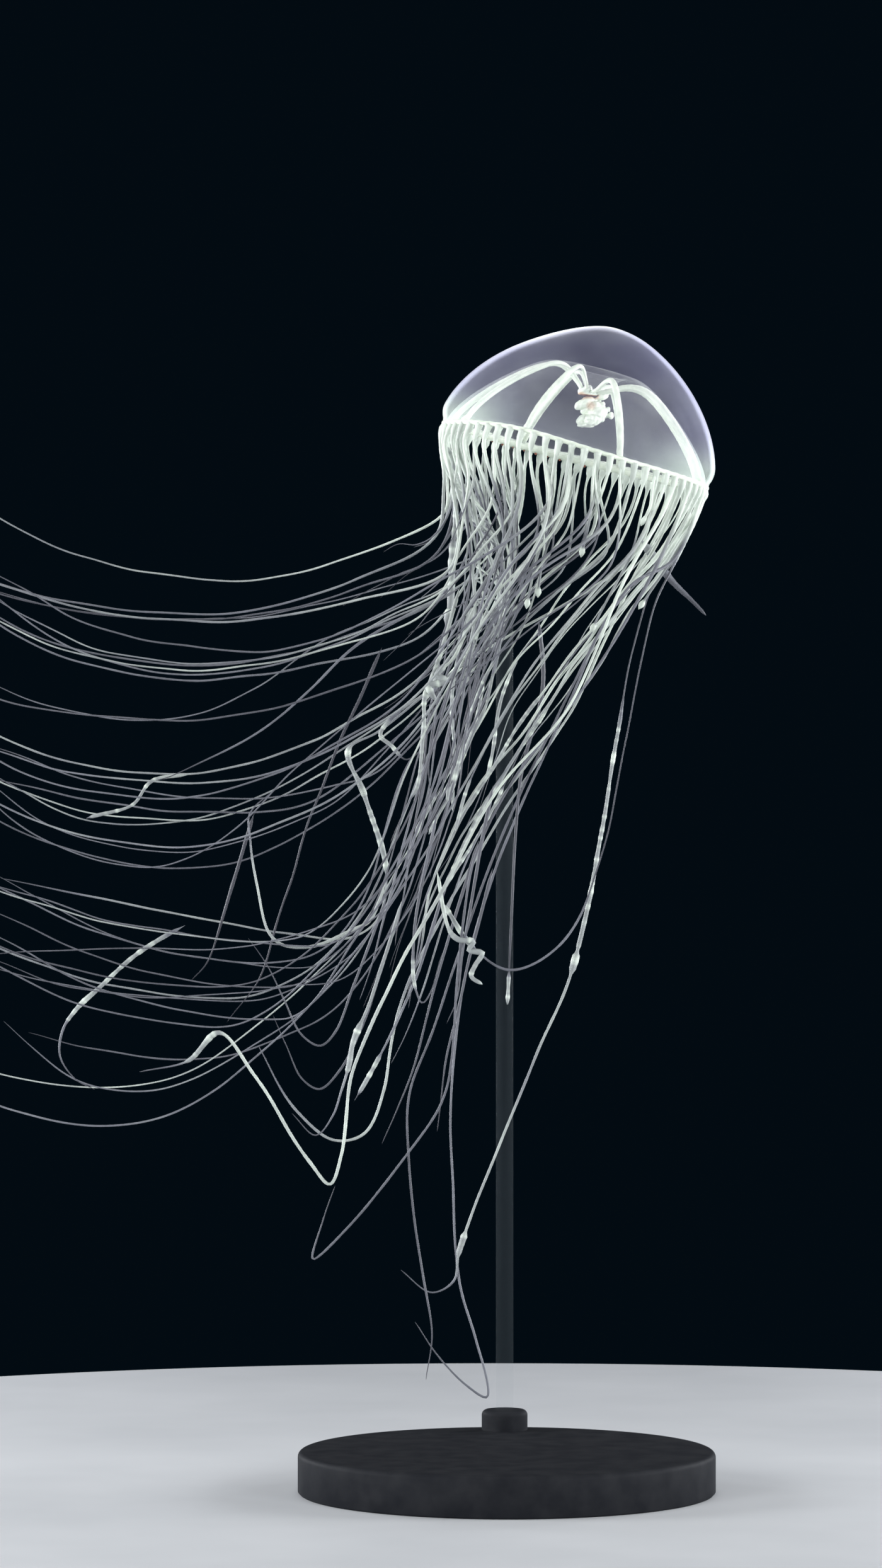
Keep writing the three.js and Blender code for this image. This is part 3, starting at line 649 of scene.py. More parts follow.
# EYE SPOTS
# Tiny organs that sense light sit between the tentacles' bulbs, on the inner side of the rim. They are
# beads of red-brown pigment, of uneven sizes, set into the rim's cord one by one.
eye_pigment, shader = new_finish("eye_pigment", {"Roughness": 0.35})
add_mottle(eye_pigment, shader, (0.13, 0.04, 0.03), (0.36, 0.13, 0.08), 4000, 9000, 0.1)

bm = bmesh.new()
for k in range(TENTACLES):
    azimuth = 2 * math.pi * (k / TENTACLES - 0.5)
    below = lerp(0.1, 0.64, ease(-math.cos(azimuth))) * MM
    inward = TILT @ around(azimuth, -0.2 * MM, 0)
    place = Matrix.Translation(RING_CENTRE + rim_point(azimuth, below) + inward)
    size = (0.1 + 0.12 * (k * 0.618 % 1)) * MM
    bmesh.ops.create_icosphere(bm, subdivisions=2, radius=size, matrix=place)
eyes = new_piece("eye_spots", bm, eye_pigment)
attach(eyes, "root")


# TENTACLES
# Sixty-four fine threads hang from swollen bulbs on the rim. They are whitest at the bulb and fade to a
# violet grey, and are ringed with stinging cells like tiny beads. Most end inside the bundle.
BULB_LENGTH = 0.13 * R
EDDY_ACROSS = 0.03 * D
EDDY_DEPTH = 0.07 * D
STEP = 0.4 * MM
CURVE_SAMPLES = 500


def scatter(i, seed):
    """An even scatter of numbers from 0 to 1, another one for each seed."""
    return (i * 0.6180339887 + seed * 0.7548776662) % 1


def root_of(i):
    turn = (i + 0.5) / TENTACLES
    azimuth = 2 * math.pi * (turn if turn < 0.5 else turn - 1)
    return rim_point(azimuth, 0), rim_point(azimuth, BULB_LENGTH)


def in_bundle(neck, drop, fill, wave):
    """The bundle drifts to -X and narrows as it drops.

    The threads from its middle are swept further, and those nearest +X lean in after them.
    """
    width = fill / (1 + 1.1 * drop ** 1.2)
    sweep = ease((drop - 0.06) / 0.5) * (1 - 0.6 * ease((drop - 0.7) / 0.9))
    sweep *= math.exp(-(((neck.x / D - 0.1) / 0.17) ** 2))
    depth = fill * (1 + 0.42 * sweep) / (1 + 0.5 * drop)
    lean = 0.11 * ease((drop - 0.3) / 0.7) * ease((neck.x / D - 0.15) / 0.2)
    drift = -0.4 * drop * drop / (drop + 0.35) - 0.26 * sweep - lean + wave
    return Vector((neck.x * width + D * drift, neck.y * depth, neck.z - D * drop))


def smooth_point(points, t):
    """A point on a smooth curve through the points, with t from 0 to 1."""
    place = (len(points) - 1) * t
    k = min(int(place), len(points) - 2)
    share = place - k
    here, there = points[k], points[k + 1]
    before = points[k - 1] if k else 2 * here - there
    after = points[k + 2] if k + 2 < len(points) else 2 * there - here
    a = (here - before).length ** 0.5
    b = (there - here).length ** 0.5
    c = (after - there).length ** 0.5
    leave = ((here - before) / a - (there - before) / (a + b) + (there - here) / b) * b
    arrive = ((there - here) / b - (after - here) / (b + c) + (after - there) / c) * b
    bend = 3 * (there - here) - 2 * leave - arrive
    turn = 2 * (here - there) + leave + arrive
    return here + leave * share + bend * share ** 2 + turn * share ** 3


def lengths_of(points):
    lengths = [0.0]
    for start, end in zip(points, points[1:]):
        lengths.append(lengths[-1] + (end - start).length)
    return lengths


def thread_line(points, stir):
    """Points a step apart on the curve through the points, which slow eddies have stirred."""
    samples = [smooth_point(points, t) for t in evenly(0, 1, CURVE_SAMPLES)]
    spine = lengths_of(samples)[-1]
    line = []
    for t, (x, y, z) in zip(evenly(0, 1, CURVE_SAMPLES), samples):
        share = stir * ease(t * spine / (0.8 * D))
        x += share * EDDY_ACROSS * math.sin((8 * y + 5 * z) / D)
        y += share * EDDY_DEPTH * math.sin((3 * x + 4 * z) / D + 1)
        line.append(Vector((x, y, z)))
    lengths = lengths_of(line)
    steps = round(lengths[-1] / STEP)
    evened, k = [], 0
    for target in evenly(0, lengths[-1], steps):
        while k < len(line) - 2 and lengths[k + 1] < target:
            k += 1
        evened.append(line[k].lerp(line[k + 1], (target - lengths[k]) / (lengths[k + 1] - lengths[k])))
    return evened


def hanging_line(i):
    root, neck = root_of(i)
    length = lerp(0.95, 2.2, scatter(i, 57))
    inset = lerp(0.15, 0.55, scatter(i, 54.5))
    points = [root, neck]
    drop = 0.2
    while drop <= length:
        wave = 0.02 * ease(drop) * math.sin(6 * drop + 2 * math.pi * scatter(i, 18.25))
        points.append(in_bundle(neck, drop, 1 - inset * ease(drop / 0.7), wave))
        drop += 0.2
    return thread_line(points, 1)


# The threads are gathered into tufts: the last root of each, how tightly it draws in, and how far down.
TUFTS = (
    (3, 0.5, 0.5), (8, 0.6, 0.42), (12, 0.4, 0.6), (15, 0.5, 0.5), (20, 0.7, 0.45), (25, 0.8, 0.36),
    (30, 0.85, 0.3), (34, 0.7, 0.42), (38, 0.85, 0.34), (43, 0.85, 0.4), (49, 0.8, 0.45),
    (54, 0.85, 0.38), (59, 0.75, 0.45), (63, 0.8, 0.4),
)


def drawn_in(i):
    """How far thread i is drawn towards the middle of its tuft's roots, and how far down it is tightest."""
    first = 0
    for last, tightness, depth in TUFTS:
        if i <= last:
            roots = [root_of(k)[1] for k in range(first, last + 1)]
            move = sum(roots, Vector()) / len(roots) - root_of(i)[1]
            return Vector((move.x, move.y, 0)) * tightness, depth * D
        first = last + 1


# A thread's radius in millimetres as it leaves its bulb, within the bundle, and where it trails.
LEAVING, BUNDLED, TRAILED = 0.27, 0.16, 0.13
# How long its slow curls, its lumps, its drifts of tone, its rings of stinging cells and its beads are.
CURL, LUMP, DRIFT, RING, BEAD = 9 * MM, 2.4 * MM, 11 * MM, 0.8 * MM, 1.2 * MM
KNOB_LENGTH = 1.4  # in millimetres
TIP_FADE = 14  # in millimetres


def window(run, start, end, soft):
    """1 between start and end, 0 outside, with soft shoulders."""
    return ease((run - start + soft) / soft) * ease((end + soft - run) / soft)


def bulb_radius(run, facing):
    """In millimetres. Bulbs on the far side are round, and those on the near side flare at the rim."""
    cup = math.sin(math.pi * min(1, run / (0.8 * BULB_LENGTH)) ** 0.8)
    flare = 1 - ease(run / (0.9 * MM))
    return lerp(0.3 + 0.28 * cup, 0.42 + 0.06 * cup + 0.15 * flare, facing)


def thread_radius(run):
    upper = lerp(LEAVING, BUNDLED, ease(run / (0.9 * D)))
    return lerp(upper, TRAILED, ease((run - D) / (1.4 * D)))


def thread_route(i, line, girth, level, curl=0.35, swollen=(), knob=0.0, bulb=1.0, rooted=True, tuft=None):
    """The thread's points with a fine curl of its own, each with a radius and a paleness.

    It starts with its bulb, then tapers to a closed tip, ringed with fine beads. A swollen stretch is
    (start, end, factor), with start and end along the thread. A knob is the radius of a round end, and
    bulb is how much of a bulb the thread has. A rooted thread is white where it leaves the rim, and
    joins the tuft of its own root, or of the one given.
    """
    length = lengths_of(line)[-1]
    route = []
    draw, depth = drawn_in(i if tuft is None else tuft) if rooted else (Vector(), D)
    facing = ease(-line[0].y / R)
    for k, point in enumerate(line):
        run = length * k / (len(line) - 1)
        drawn = ease((run - BULB_LENGTH) / depth)
        freed = 1 - 0.8 * ease((run - depth) / (0.6 * D))
        point = point + draw * drawn * freed
        shift = noise.noise_vector(Vector((run / CURL, 13.7 * i, 5)))
        curled = curl * MM * ease((run - 3 * MM) / (12 * MM))
        necked = lerp(1, ease((run - 0.55 * BULB_LENGTH) / (0.7 * BULB_LENGTH)), bulb)
        thick = lerp(bulb_radius(run, facing), girth * thread_radius(run), necked)
        lumps = noise.noise(Vector((run / LUMP, 7.3 * i, 0)))
        drift = noise.noise(Vector((run / DRIFT, 3.1 * i, 2)))
        thick *= 1 + 0.05 * math.sin(2 * math.pi * run / BEAD + i) + 0.15 * lumps
        paleness_and_shade = level * lerp(1, 0.7, ease((run - 0.3 * D) / (1.2 * D)))
        if rooted:
            paleness_and_shade = lerp(1, paleness_and_shade, ease((run - BULB_LENGTH) / (0.28 * D)))
        from_end = (length - run) / MM
        fading = 1 if knob else lerp(0.4, 1, ease(from_end / TIP_FADE))
        thick *= fading
        paleness_and_shade *= (1 + 0.3 * drift) * fading
        for start, end, factor in swollen:
            swell = window(run, start, end, 0.8 * MM)
            ring = max(0.0, noise.noise(Vector((run / RING, 5.1 * i, 9))))
            thick = lerp(thick, 0.15 * factor * (1 + 0.5 * ring + 0.4 * lumps), swell)
            paleness_and_shade = lerp(paleness_and_shade, 0.62 + 0.7 * ring, swell)
        if knob and from_end < KNOB_LENGTH:
            middle = KNOB_LENGTH / 2
            ball = knob * math.sqrt(max(0.0, 1 - ((from_end - middle) / middle) ** 2))
            thick, paleness_and_shade = max(thick, ball), 1
        thick *= math.sqrt(min(1, from_end + 0.02))
        route.append((RING_CENTRE + point + curled * shift, thick * MM, paleness_and_shade))
    return route


# Thread tissue: a dim violet grey where it is stretched thin, to a greenish white where it is thick. Its
# tone
# also carries painted shade: the threads on the far side are given darker tones.
thread_tissue, shader = new_finish("thread_tissue", {"Roughness": 0.45, "IOR": 1.3})
group = add_mottle(thread_tissue, shader, (0.85, 0.85, 0.85), (1.0, 1.0, 1.0), 500, 3000, 0.1)
thread_tones = ((0.02, 0.02, 0.03), (0.17, 0.178, 0.207), (0.67, 0.74, 0.67))
add_tones(thread_tissue, shader, group, "paleness_and_shade", thread_tones, 0.5)

LONG_OF_16 = (1, 3, 6, 8, 10, 13, 15)
long_ones = sorted(
    (i for i in range(TENTACLES) if i % 16 in LONG_OF_16),
    key=lambda i: root_of(i)[0].x,
)
hanging_ones = [i for i in range(TENTACLES) if i not in long_ones]
# One of them, at the -X tip of the rim, is drawn up short and thick. Its way down is [across, up] from the
# middle of the mouth, in bell widths, as all such ways below are.
DRAWN_UP = 48
DRAWN_UP_WAY = ((-0.447, -0.02), (-0.44, -0.22), (-0.452, -0.4), (-0.472, -0.59), (-0.5, -0.7),
                (-0.502, -0.82), (-0.53, -0.95), (-0.56, -1.2), (-0.6, -1.5))
DRAWN_UP_STRETCHES = ((0.1 * D, 0.42 * D, 2.4), (0.45 * D, 0.7 * D, 3.4), (0.7 * D, 0.72 * D, 5.0),
                      (0.93 * D, 0.96 * D, 4.0))
hanging_routes = []
for i in hanging_ones:
    root, neck = root_of(i)
    behind = ease(0.5 + root.y / R)
    girth = lerp(1.05, 0.62, behind) * (0.6 + 0.65 * scatter(i, 8))
    # Threads on the far side get a darker tone, which is painted shade, and those nearest +X a paler one.
    level = lerp(0.48, 0.1, behind) + 0.42 * scatter(i, 5)
    level += 0.3 * ease((root.x / D - 0.15) / 0.2)
    if i == DRAWN_UP:
        line = thread_line([root, neck, *(Vector((D * x, neck.y, D * z)) for x, z in DRAWN_UP_WAY)], 0)
        swollen = DRAWN_UP_STRETCHES
    else:
        line = hanging_line(i)
        thick_from = (0.9 + 0.5 * scatter(i, 14)) * D
        swollen = [(thick_from, thick_from + 0.45 * D, 1.5)] if scatter(i, 15) > 0.6 else ()
    hanging_routes.append(thread_route(i, line, girth, level, 0.5, swollen))
hanging = add_tubes("tentacles_hanging", hanging_routes, 8, thread_tissue)
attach(hanging, "root")
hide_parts(*[f"tentacles_{k + 1:02}" for k in range(16)])


# YOUNG TENTACLES
# Finer threads grow beside the full ones. Most leave the middle of the rim and sweep to -X across the
# bundle, and a few hang nearly straight and end in a small white knob.
YOUNG = 18
young_routes = []
for k in range(YOUNG):
    share = (k + 0.5) / YOUNG
    i = 52 + round(15 * share) if k % 2 else 43 - round(15 * share)
    root, neck = root_of(i % TENTACLES)
    reach = 0.05 + 0.25 * scatter(k, 2)
    cross = -0.26 - 0.75 * share - 0.12 * scatter(k, 6)
    leave = 0.1 + 0.16 * scatter(k, 7) + 0.1 * share
    start = Vector((neck.x - 0.02 * D, neck.y * 0.96, neck.z - leave * D))
    goal = Vector((-0.62 * D, 0.55 * neck.y, cross * D))
    points = [root, neck, start]
    for along, sag in ((0.33, 0.06), (0.66, 0.05), (1.0, 0)):
        point = start.lerp(goal, along)
        point.z -= sag * D * (1 - share)
        points.append(point)
    slope = (goal.z - start.z) / (goal.x - start.x)
    across = reach * D
    points.append(Vector((goal.x - across, 0.9 * goal.y, goal.z - 0.7 * across * slope)))
    line = thread_line(points, 0.7)
    line = line[:round(len(line) * (0.5 + 0.5 * scatter(k, 11)))]
    girth, level = 0.55 + 0.35 * scatter(k, 5), 0.2 + 0.75 * scatter(k, 13)
    young_routes.append(thread_route(100 + k, line, girth, level, 0.6, bulb=0.0, tuft=i % TENTACLES))

# Where the knobs are, [across, up].
KNOBS = ((0.22, -0.57), (0.06, -0.66), (-0.17, -0.58), (0.22, -0.285), (-0.22, -0.17), (-0.1, -0.54),
         (0.0, -0.4))
for k, (x, z) in enumerate(KNOBS):
    drop = -z - 0.1
    across = (x + 0.4 * drop * drop / (drop + 0.35)) * (1 + 1.1 * drop ** 1.2) * D
    i = math.floor(TENTACLES * math.asin(min(0.99, across / RIM_RADIUS)) / (2 * math.pi)) % TENTACLES
    root, neck = root_of(i)
    end = Vector((x * D, neck.y * 0.9, z * D))
    halfway = neck.lerp(end, 0.5)
    halfway.x += 0.012 * D
    line = thread_line([root, neck, halfway, end], 0)
    young_routes.append(thread_route(200 + k, line, 0.8, 0.6, 0.2, knob=0.5, bulb=0.0, tuft=i))
young = add_tubes("tentacles_young", young_routes, 8, thread_tissue)
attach(young, "root")


# TANGLE
# Under the rim's -X side six slim, rather pale threads are wound round one another in loose loops. Each is
# laid a little further back than the one before.
TANGLED = 6
tangle_routes = []
for k in range(TANGLED):
    i = (49 - k) % TENTACLES
    root, neck = root_of(i)
    loops, turn = 2 + 0.5 * (k % 3), 2.4 * k
    points = [root, neck]
    for share in evenly(0.06, 1, 30):
        spin = 2 * math.pi * loops * share + turn
        wide = 0.05 * D * ease(share / 0.6) * (1 - 0.5 * ease((share - 0.7) / 0.3))
        middle_x = lerp(neck.x, -0.31 * D, ease(share / 0.5)) - 0.1 * D * max(0.0, share - 0.6)
        middle_y = lerp(neck.y, -0.16 * D + 0.03 * D * k, ease(share / 0.5))
        middle_z = lerp(neck.z, -0.75 * D - 0.04 * D * (k % 4), share)
        points.append(Vector((
            middle_x + wide * math.sin(spin), middle_y + 0.7 * wide * math.cos(0.7 * spin),
            middle_z + 0.9 * wide * math.cos(spin),
        )))
    line = thread_line(points, 0)
    girth, level = 0.6 + 0.3 * scatter(k, 2), 0.5 + 0.45 * scatter(k, 3)
    tangle_routes.append(thread_route(500 + k, line, girth, level, 0.5, bulb=0.0, tuft=i))
tangle = add_tubes("tentacles_tangled", tangle_routes, 8, thread_tissue)
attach(tangle, "root")


# TRAILING TENTACLES
# Twenty long threads leave the bundle on its -X side and trail off in shallow arcs, in sheaves one below
# another: where each sheaf hangs lowest, how deep it is, and how far its ends rise again.
SHEAVES = (
    # count, lowest across, lowest down, depth, rise
    (1, -1.25, -0.46, 0, 0.42),
    (3, -1.38, -0.6, 0.03, 0.22),
    (3, -1.4, -0.79, 0.05, 0.36),
    (1, -1.45, -0.97, 0, 0.2),
    (5, -1.48, -1.33, 0.34, 0.32),
    (2, -1.06, -1.8, 0.1, 0.34),
    (3, -1.25, -1.98, 0.14, 0.3),
    (2, -1.63, -2.35, 0.1, 0.2),
)
ARCS = []
for count, across, down, depth, rise in SHEAVES:
    for k in range(count):
        place = k / (count - 1) - 0.5 if count > 1 else 0
        ARCS.append((across, down - place * depth, rise * (1 + 0.25 * place)))


def swept_line(root, neck, lane, bundled, knee, low, end):
    """Down the bundle as far as bundled, then from the knee along an arc through its lowest point.

    The knee, the lowest point and the end are [across, up], and lane is how far back the arc lies.
    """
    points = [root, neck]
    drop = 0.16
    while drop <= bundled:
        point = in_bundle(neck, drop, 1, 0)
        point.y = neck.y + lane * ease(drop / 0.6)
        points.append(point)
        drop += 0.22
    shares = (0, 0.35, 0.7)
    places = [(lerp(knee[0], low[0], share), (1 - share) ** 2 * (knee[1] - low[1])) for share in shares]
    places += [(lerp(low[0], end[0], share), share ** 2 * (end[1] - low[1])) for share in (0, 0.5, 1)]
    for k, (x, above) in enumerate(places):
        points.append(Vector((D * x, lane + neck.y * lerp(1, 0.5, k / 5), D * (low[1] + above))))
    return thread_line(points, 1)


def trailing_line(i, rank):
    root, neck = root_of(i)
    low_x, low_z, rise = ARCS[rank]
    q = rank / (len(ARCS) - 1)
    lane = math.copysign(0.02 + 0.03 * (rank // 2 % 3), neck.y) * D
    knee = (-0.46 - 0.2 * q, -0.22 - 1.35 * q)
    end = (-2.3 - 0.15 * scatter(rank, 6), low_z + rise)
    return swept_line(root, neck, lane, 0.16 + 0.7 * q, knee, (low_x, low_z), end)


trailing_ones = long_ones[: len(ARCS)]
trailing_routes = []
for rank, i in enumerate(trailing_ones):
    girth, level = 0.8 + 0.3 * scatter(rank, 4), 0.3 + 0.75 * scatter(rank, 9)
    trailing_routes.append(thread_route(i, trailing_line(i, rank), girth, level))
trailing = add_tubes("tentacles_trailing", trailing_routes, 8, thread_tissue)
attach(trailing, "root")
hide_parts(*[f"tentacle_end_{k + 1:02}" for k in range(20)])


# FINE TRAILING TENTACLES
# Thinner and dimmer threads fill the sheaves. Each leaves the rim beside a full thread, and crosses its
# neighbours on the way, as its arc sags by its own amount.
FINE_ARCS = (
    # knee, lowest point and end, [across, up], and how pale
    ((-0.35, -0.39), (-1.40, -0.80), (-2.2, -0.42), 0.55),
    ((-0.36, -0.45), (-1.33, -0.77), (-2.2, -0.47), 0.65),
    ((-0.35, -0.33), (-1.44, -0.60), (-2.2, -0.46), 0.45),
    ((-0.60, -0.56), (-1.16, -0.73), (-2.2, -0.40), 0.4),
    ((-0.93, -0.68), (-1.50, -0.965), (-2.2, -0.78), 0.55),
    ((-0.50, -0.85), (-1.33, -1.19), (-2.2, -1.02), 0.6),
    ((-0.67, -1.13), (-1.26, -1.25), (-2.2, -1.03), 0.5),
    ((-0.76, -1.20), (-1.46, -1.44), (-2.2, -1.08), 0.5),
    ((-0.96, -1.16), (-1.61, -1.345), (-2.2, -1.10), 0.75),
    ((-1.04, -1.18), (-1.59, -1.49), (-2.2, -1.12), 0.4),
    ((-0.55, -0.95), (-1.20, -1.30), (-2.2, -1.16), 0.4),
    ((-0.70, -1.61), (-0.96, -1.765), (-2.2, -1.52), 0.4),
    ((-0.74, -1.66), (-0.97, -1.865), (-2.2, -1.48), 0.4),
    ((-0.78, -1.76), (-1.04, -2.03), (-2.2, -1.68), 0.45),
    ((-0.80, -1.79), (-1.18, -1.99), (-2.2, -1.84), 0.55),
    ((-0.78, -1.85), (-1.52, -1.95), (-2.2, -1.78), 0.35),
    ((-0.89, -1.96), (-1.63, -2.31), (-2.04, -2.05), 0.6),
    ((-0.74, -1.61), (-1.29, -1.775), (-2.2, -1.80), 0.35),
    ((-0.86, -2.00), (-1.35, -2.20), (-1.96, -2.10), 0.35),
    ((-0.82, -1.75), (-1.10, -1.92), (-2.2, -1.60), 0.3),
)
fine_routes = []
for k, (knee, low, end, level) in enumerate(FINE_ARCS):
    i = 52 + 7 * k % 12 if k % 2 else 43 - 7 * k % 12
    root, neck = root_of(i % TENTACLES)
    lane = math.copysign(0.01 + 0.02 * (k % 5), neck.y) * D
    line = swept_line(root, neck, lane, 0.75 * max(0.0, -knee[1] - 0.1), knee, low, end)
    girth, level = 0.65 + 0.4 * scatter(k, 5), level + 0.12
    fine_routes.append(thread_route(300 + k, line, girth, level, 0.4, bulb=0.0, tuft=i % TENTACLES))
fine = add_tubes("tentacles_fine", fine_routes, 6, thread_tissue)
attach(fine, "root")


# HOOKS AND CURLS
# Loose lengths that have hooked on the threads beside them, and pieces that are drawn up into thick white
# curls. Each starts in the bundle or on an arc, and the last is a short spur on the +X side.
HOOKS = (
    # route [across, up], how far back, girth, how pale, and the swollen stretch: start, end and factor
    (((-0.62, -1.6), (-0.74, -1.98), (-0.8, -2.12), (-0.815, -2.2), (-0.84, -2.29), (-0.87, -2.38),
      (-0.935, -2.45), (-1.02, -2.37)), -0.1, 1.0, 0.6, (0.47, 0.62, 2.6)),
    (((-0.68, -1.54), (-0.74, -1.68), (-0.8, -1.71), (-0.94, -1.77), (-1.05, -1.765), (-1.1, -1.72),
      (-1.14, -1.55), (-1.16, -1.4), (-1.165, -1.3), (-1.06, -1.2)), -0.28, 1.0, 0.7, None),
    (((-0.7, -0.7), (-0.93, -1.24), (-1.04, -1.57), (-1.15, -1.9), (-1.26, -2.06)), 0.2, 0.9, 0.12, None),
    (((-0.13, -0.6), (-0.115, -0.85), (-0.2, -1.19), (-0.225, -1.56), (-0.235, -1.9), (-0.24, -2.0)),
     0.25, 1.2, 0.25, (0.93, 1.0, 1.8)),
    (((-1.16, -1.3), (-1.23, -1.53), (-1.33, -1.83), (-1.39, -1.9)), 0.1, 1.0, 0.15, None),
    (((-0.5, -1.3), (-0.58, -1.7), (-0.578, -1.9), (-0.55, -1.97), (-0.52, -1.93), (-0.48, -1.79)),
     -0.3, 0.9, 0.4, (0.6, 0.7, 1.4)),
    (((-0.68, -1.6), (-0.8, -1.92), (-0.87, -2.09), (-0.925, -2.14), (-0.99, -2.1), (-1.05, -1.98),
      (-1.11, -1.85), (-1.18, -1.75)), 0.05, 0.8, 0.35, None),
    (((-0.68, -1.8), (-0.78, -2.09), (-0.85, -2.23), (-0.925, -2.3), (-0.99, -2.26), (-1.04, -2.14),
      (-1.09, -2.03)), 0.12, 0.8, 0.3, None),
    (((-1.4, -1.7), (-1.5, -1.755), (-1.58, -1.81), (-1.7, -1.92), (-1.79, -2.0), (-1.84, -2.07),
      (-1.85, -2.16), (-1.79, -2.25), (-1.72, -2.29)), -0.1, 1.0, 0.5, (0.1, 0.62, 1.9)),
    (((-1.38, -1.16), (-1.52, -1.185), (-1.59, -1.27), (-1.75, -1.315)), -0.1, 1.0, 0.7, (0.3, 0.95, 1.6)),
    (((-0.42, -0.5), (-0.78, -0.7), (-0.95, -0.86), (-1.18, -1.04), (-1.44, -1.165), (-1.5, -1.18)),
     -0.2, 0.9, 0.5, None),
    (((-0.6, -0.9), (-0.7, -1.02), (-0.66, -1.06), (-0.61, -1.11), (-0.55, -1.07)),
     -0.25, 1.0, 0.5, (0.3, 0.7, 2.0)),
    (((-0.42, -0.5), (-0.5, -0.78), (-0.547, -0.89), (-0.55, -1.0), (-0.57, -1.2), (-0.6, -1.26),
      (-0.66, -1.4)), -0.33, 1.1, 0.7, (0.25, 0.8, 1.8)),
    (((-0.36, -0.55), (-0.44, -0.75), (-0.5, -0.81), (-0.47, -0.83), (-0.53, -0.85), (-0.51, -0.9)),
     -0.35, 1.0, 0.9, (0.6, 1.0, 3.0)),
    (((-0.5, -1.5), (-0.456, -1.715), (-0.425, -1.745), (-0.373, -1.75), (-0.39, -1.78), (-0.343, -1.79),
      (-0.366, -1.83), (-0.38, -1.87), (-0.34, -1.9)), -0.38, 1.0, 0.9, (0.4, 1.0, 2.4)),
    (((-0.3, -1.2), (-0.36, -1.5), (-0.4, -1.75), (-0.43, -1.95), (-0.47, -2.05)), -0.2, 1.0, 0.35, None),
    (((-0.3, -1.5), (-0.4, -1.9), (-0.47, -2.2), (-0.5, -2.45)), 0.1, 0.9, 0.3, None),
    (((-0.35, -1.4), (-0.5, -1.9), (-0.6, -2.25), (-0.7, -2.5)), 0.15, 0.9, 0.3, None),
    (((-0.45, -1.5), (-0.6, -1.95), (-0.72, -2.2), (-0.8, -2.33)), -0.05, 1.0, 0.5, (0.8, 0.95, 2.0)),
    (((0.24, -0.3), (0.32, -0.41), (0.36, -0.46), (0.42, -0.52), (0.48, -0.58)), 0.3, 2.5, 0.6, None),
)
hook_routes = []
for k, (places, back, girth, level, stretch) in enumerate(HOOKS):
    line = thread_line([Vector((D * x, D * back, D * z)) for x, z in places], 0)
    swollen = []
    if stretch:
        start, end, factor = stretch
        full = lengths_of(line)[-1]
        swollen.append((start * full, end * full, factor))
    route = thread_route(400 + k, line, girth, level, 0.3, swollen, bulb=0.0, rooted=False)
    slim = [ease(min(1, n / 6 + 0.1)) for n in range(len(route))]
    hook_routes.append([(place, thick * s, paleness_and_shade) for s, (place, thick, paleness_and_shade) in zip(slim, route)])
hooks = add_tubes("tentacles_hooked", hook_routes, 8, thread_tissue)
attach(hooks, "root")


# STRAGGLING TENTACLES
# Eight threads go each their own way down, kinked and hooked where they have caught on something or healed
# after a break. They pass before or behind the bundle, each pair at its own depth.
STRAGGLERS = (
    # kinked, then off to the side
    ((-0.4, -0.75), (-0.72, -1.0), (-0.83, -1.07), (-0.77, -1.24), (-0.69, -1.5), (-0.72, -1.69),
     (-0.83, -1.76), (-1.08, -1.74), (-1.51, -1.66), (-2.1, -1.54)),
    # down to a narrow hook, back up and over
    ((-0.01, -0.9), (-0.27, -1.21), (-0.49, -1.6), (-0.66, -1.91), (-0.79, -2.22), (-0.83, -2.5),
     (-0.87, -2.61), (-0.94, -2.53), (-1.14, -2.22), (-1.26, -2.07), (-1.37, -2.17), (-1.54, -2.21)),
    # a wider hook beside it
    ((0.01, -0.9), (-0.22, -1.25), (-0.46, -1.65), (-0.63, -2.0), (-0.69, -2.31), (-0.76, -2.47),
     (-0.87, -2.49), (-1.0, -2.39), (-1.15, -2.15)),
    # down, off to the side and back in a sharp corner
    ((0.02, -0.85), (-0.23, -1.18), (-0.37, -1.46), (-0.43, -1.89), (-0.47, -2.28), (-0.6, -2.5),
     (-0.94, -2.88), (-0.9, -2.74), (-0.86, -2.62)),
    # the longest, to a sharp corner at the very bottom
    ((0.17, -0.5), (-0.04, -0.95), (-0.27, -1.45), (-0.41, -1.95), (-0.45, -2.39), (-0.44, -2.76),
     (-0.42, -3.0), (-0.36, -3.21), (-0.32, -3.42), (-0.39, -3.38), (-0.5, -3.27), (-0.58, -3.15)),
    # nearly straight down
    ((0.17, -0.5), (-0.07, -0.95), (-0.3, -1.45), (-0.51, -2.05), (-0.6, -2.3), (-0.6, -2.55),
     (-0.55, -2.93), (-0.52, -3.15), (-0.54, -3.31)),
    # apart from the rest on the +X side, then under them, with a curled tip
    ((0.28, -0.5), (0.18, -0.9), (0.1, -1.38), (0.0, -1.86), (-0.13, -2.17), (-0.27, -2.5),
     (-0.42, -2.89), (-0.44, -3.0), (-0.52, -3.04), (-0.63, -2.96)),
    # a loop back up into the bundle
    ((0.26, -0.6), (0.17, -1.05), (0.06, -1.52), (-0.07, -1.77), (-0.24, -1.85), (-0.38, -1.76),
     (-0.47, -1.62)),
)


def straggler_line(i, order):
    root, neck = root_of(i)
    plane = math.copysign(0.42 - 0.035 * (order // 2), neck.y) * D
    start = in_bundle(neck, 0.2, 1, 0)
    start.y = lerp(neck.y, plane, 0.3)
    points = [root, neck, start]
    for x, z in STRAGGLERS[order]:
        points.append(Vector((D * x, plane * lerp(1, 0.7, ease((-z - 1.6) / 1.2)), D * z)))
    return thread_line(points, 0)


straggling_ones = long_ones[len(ARCS):]

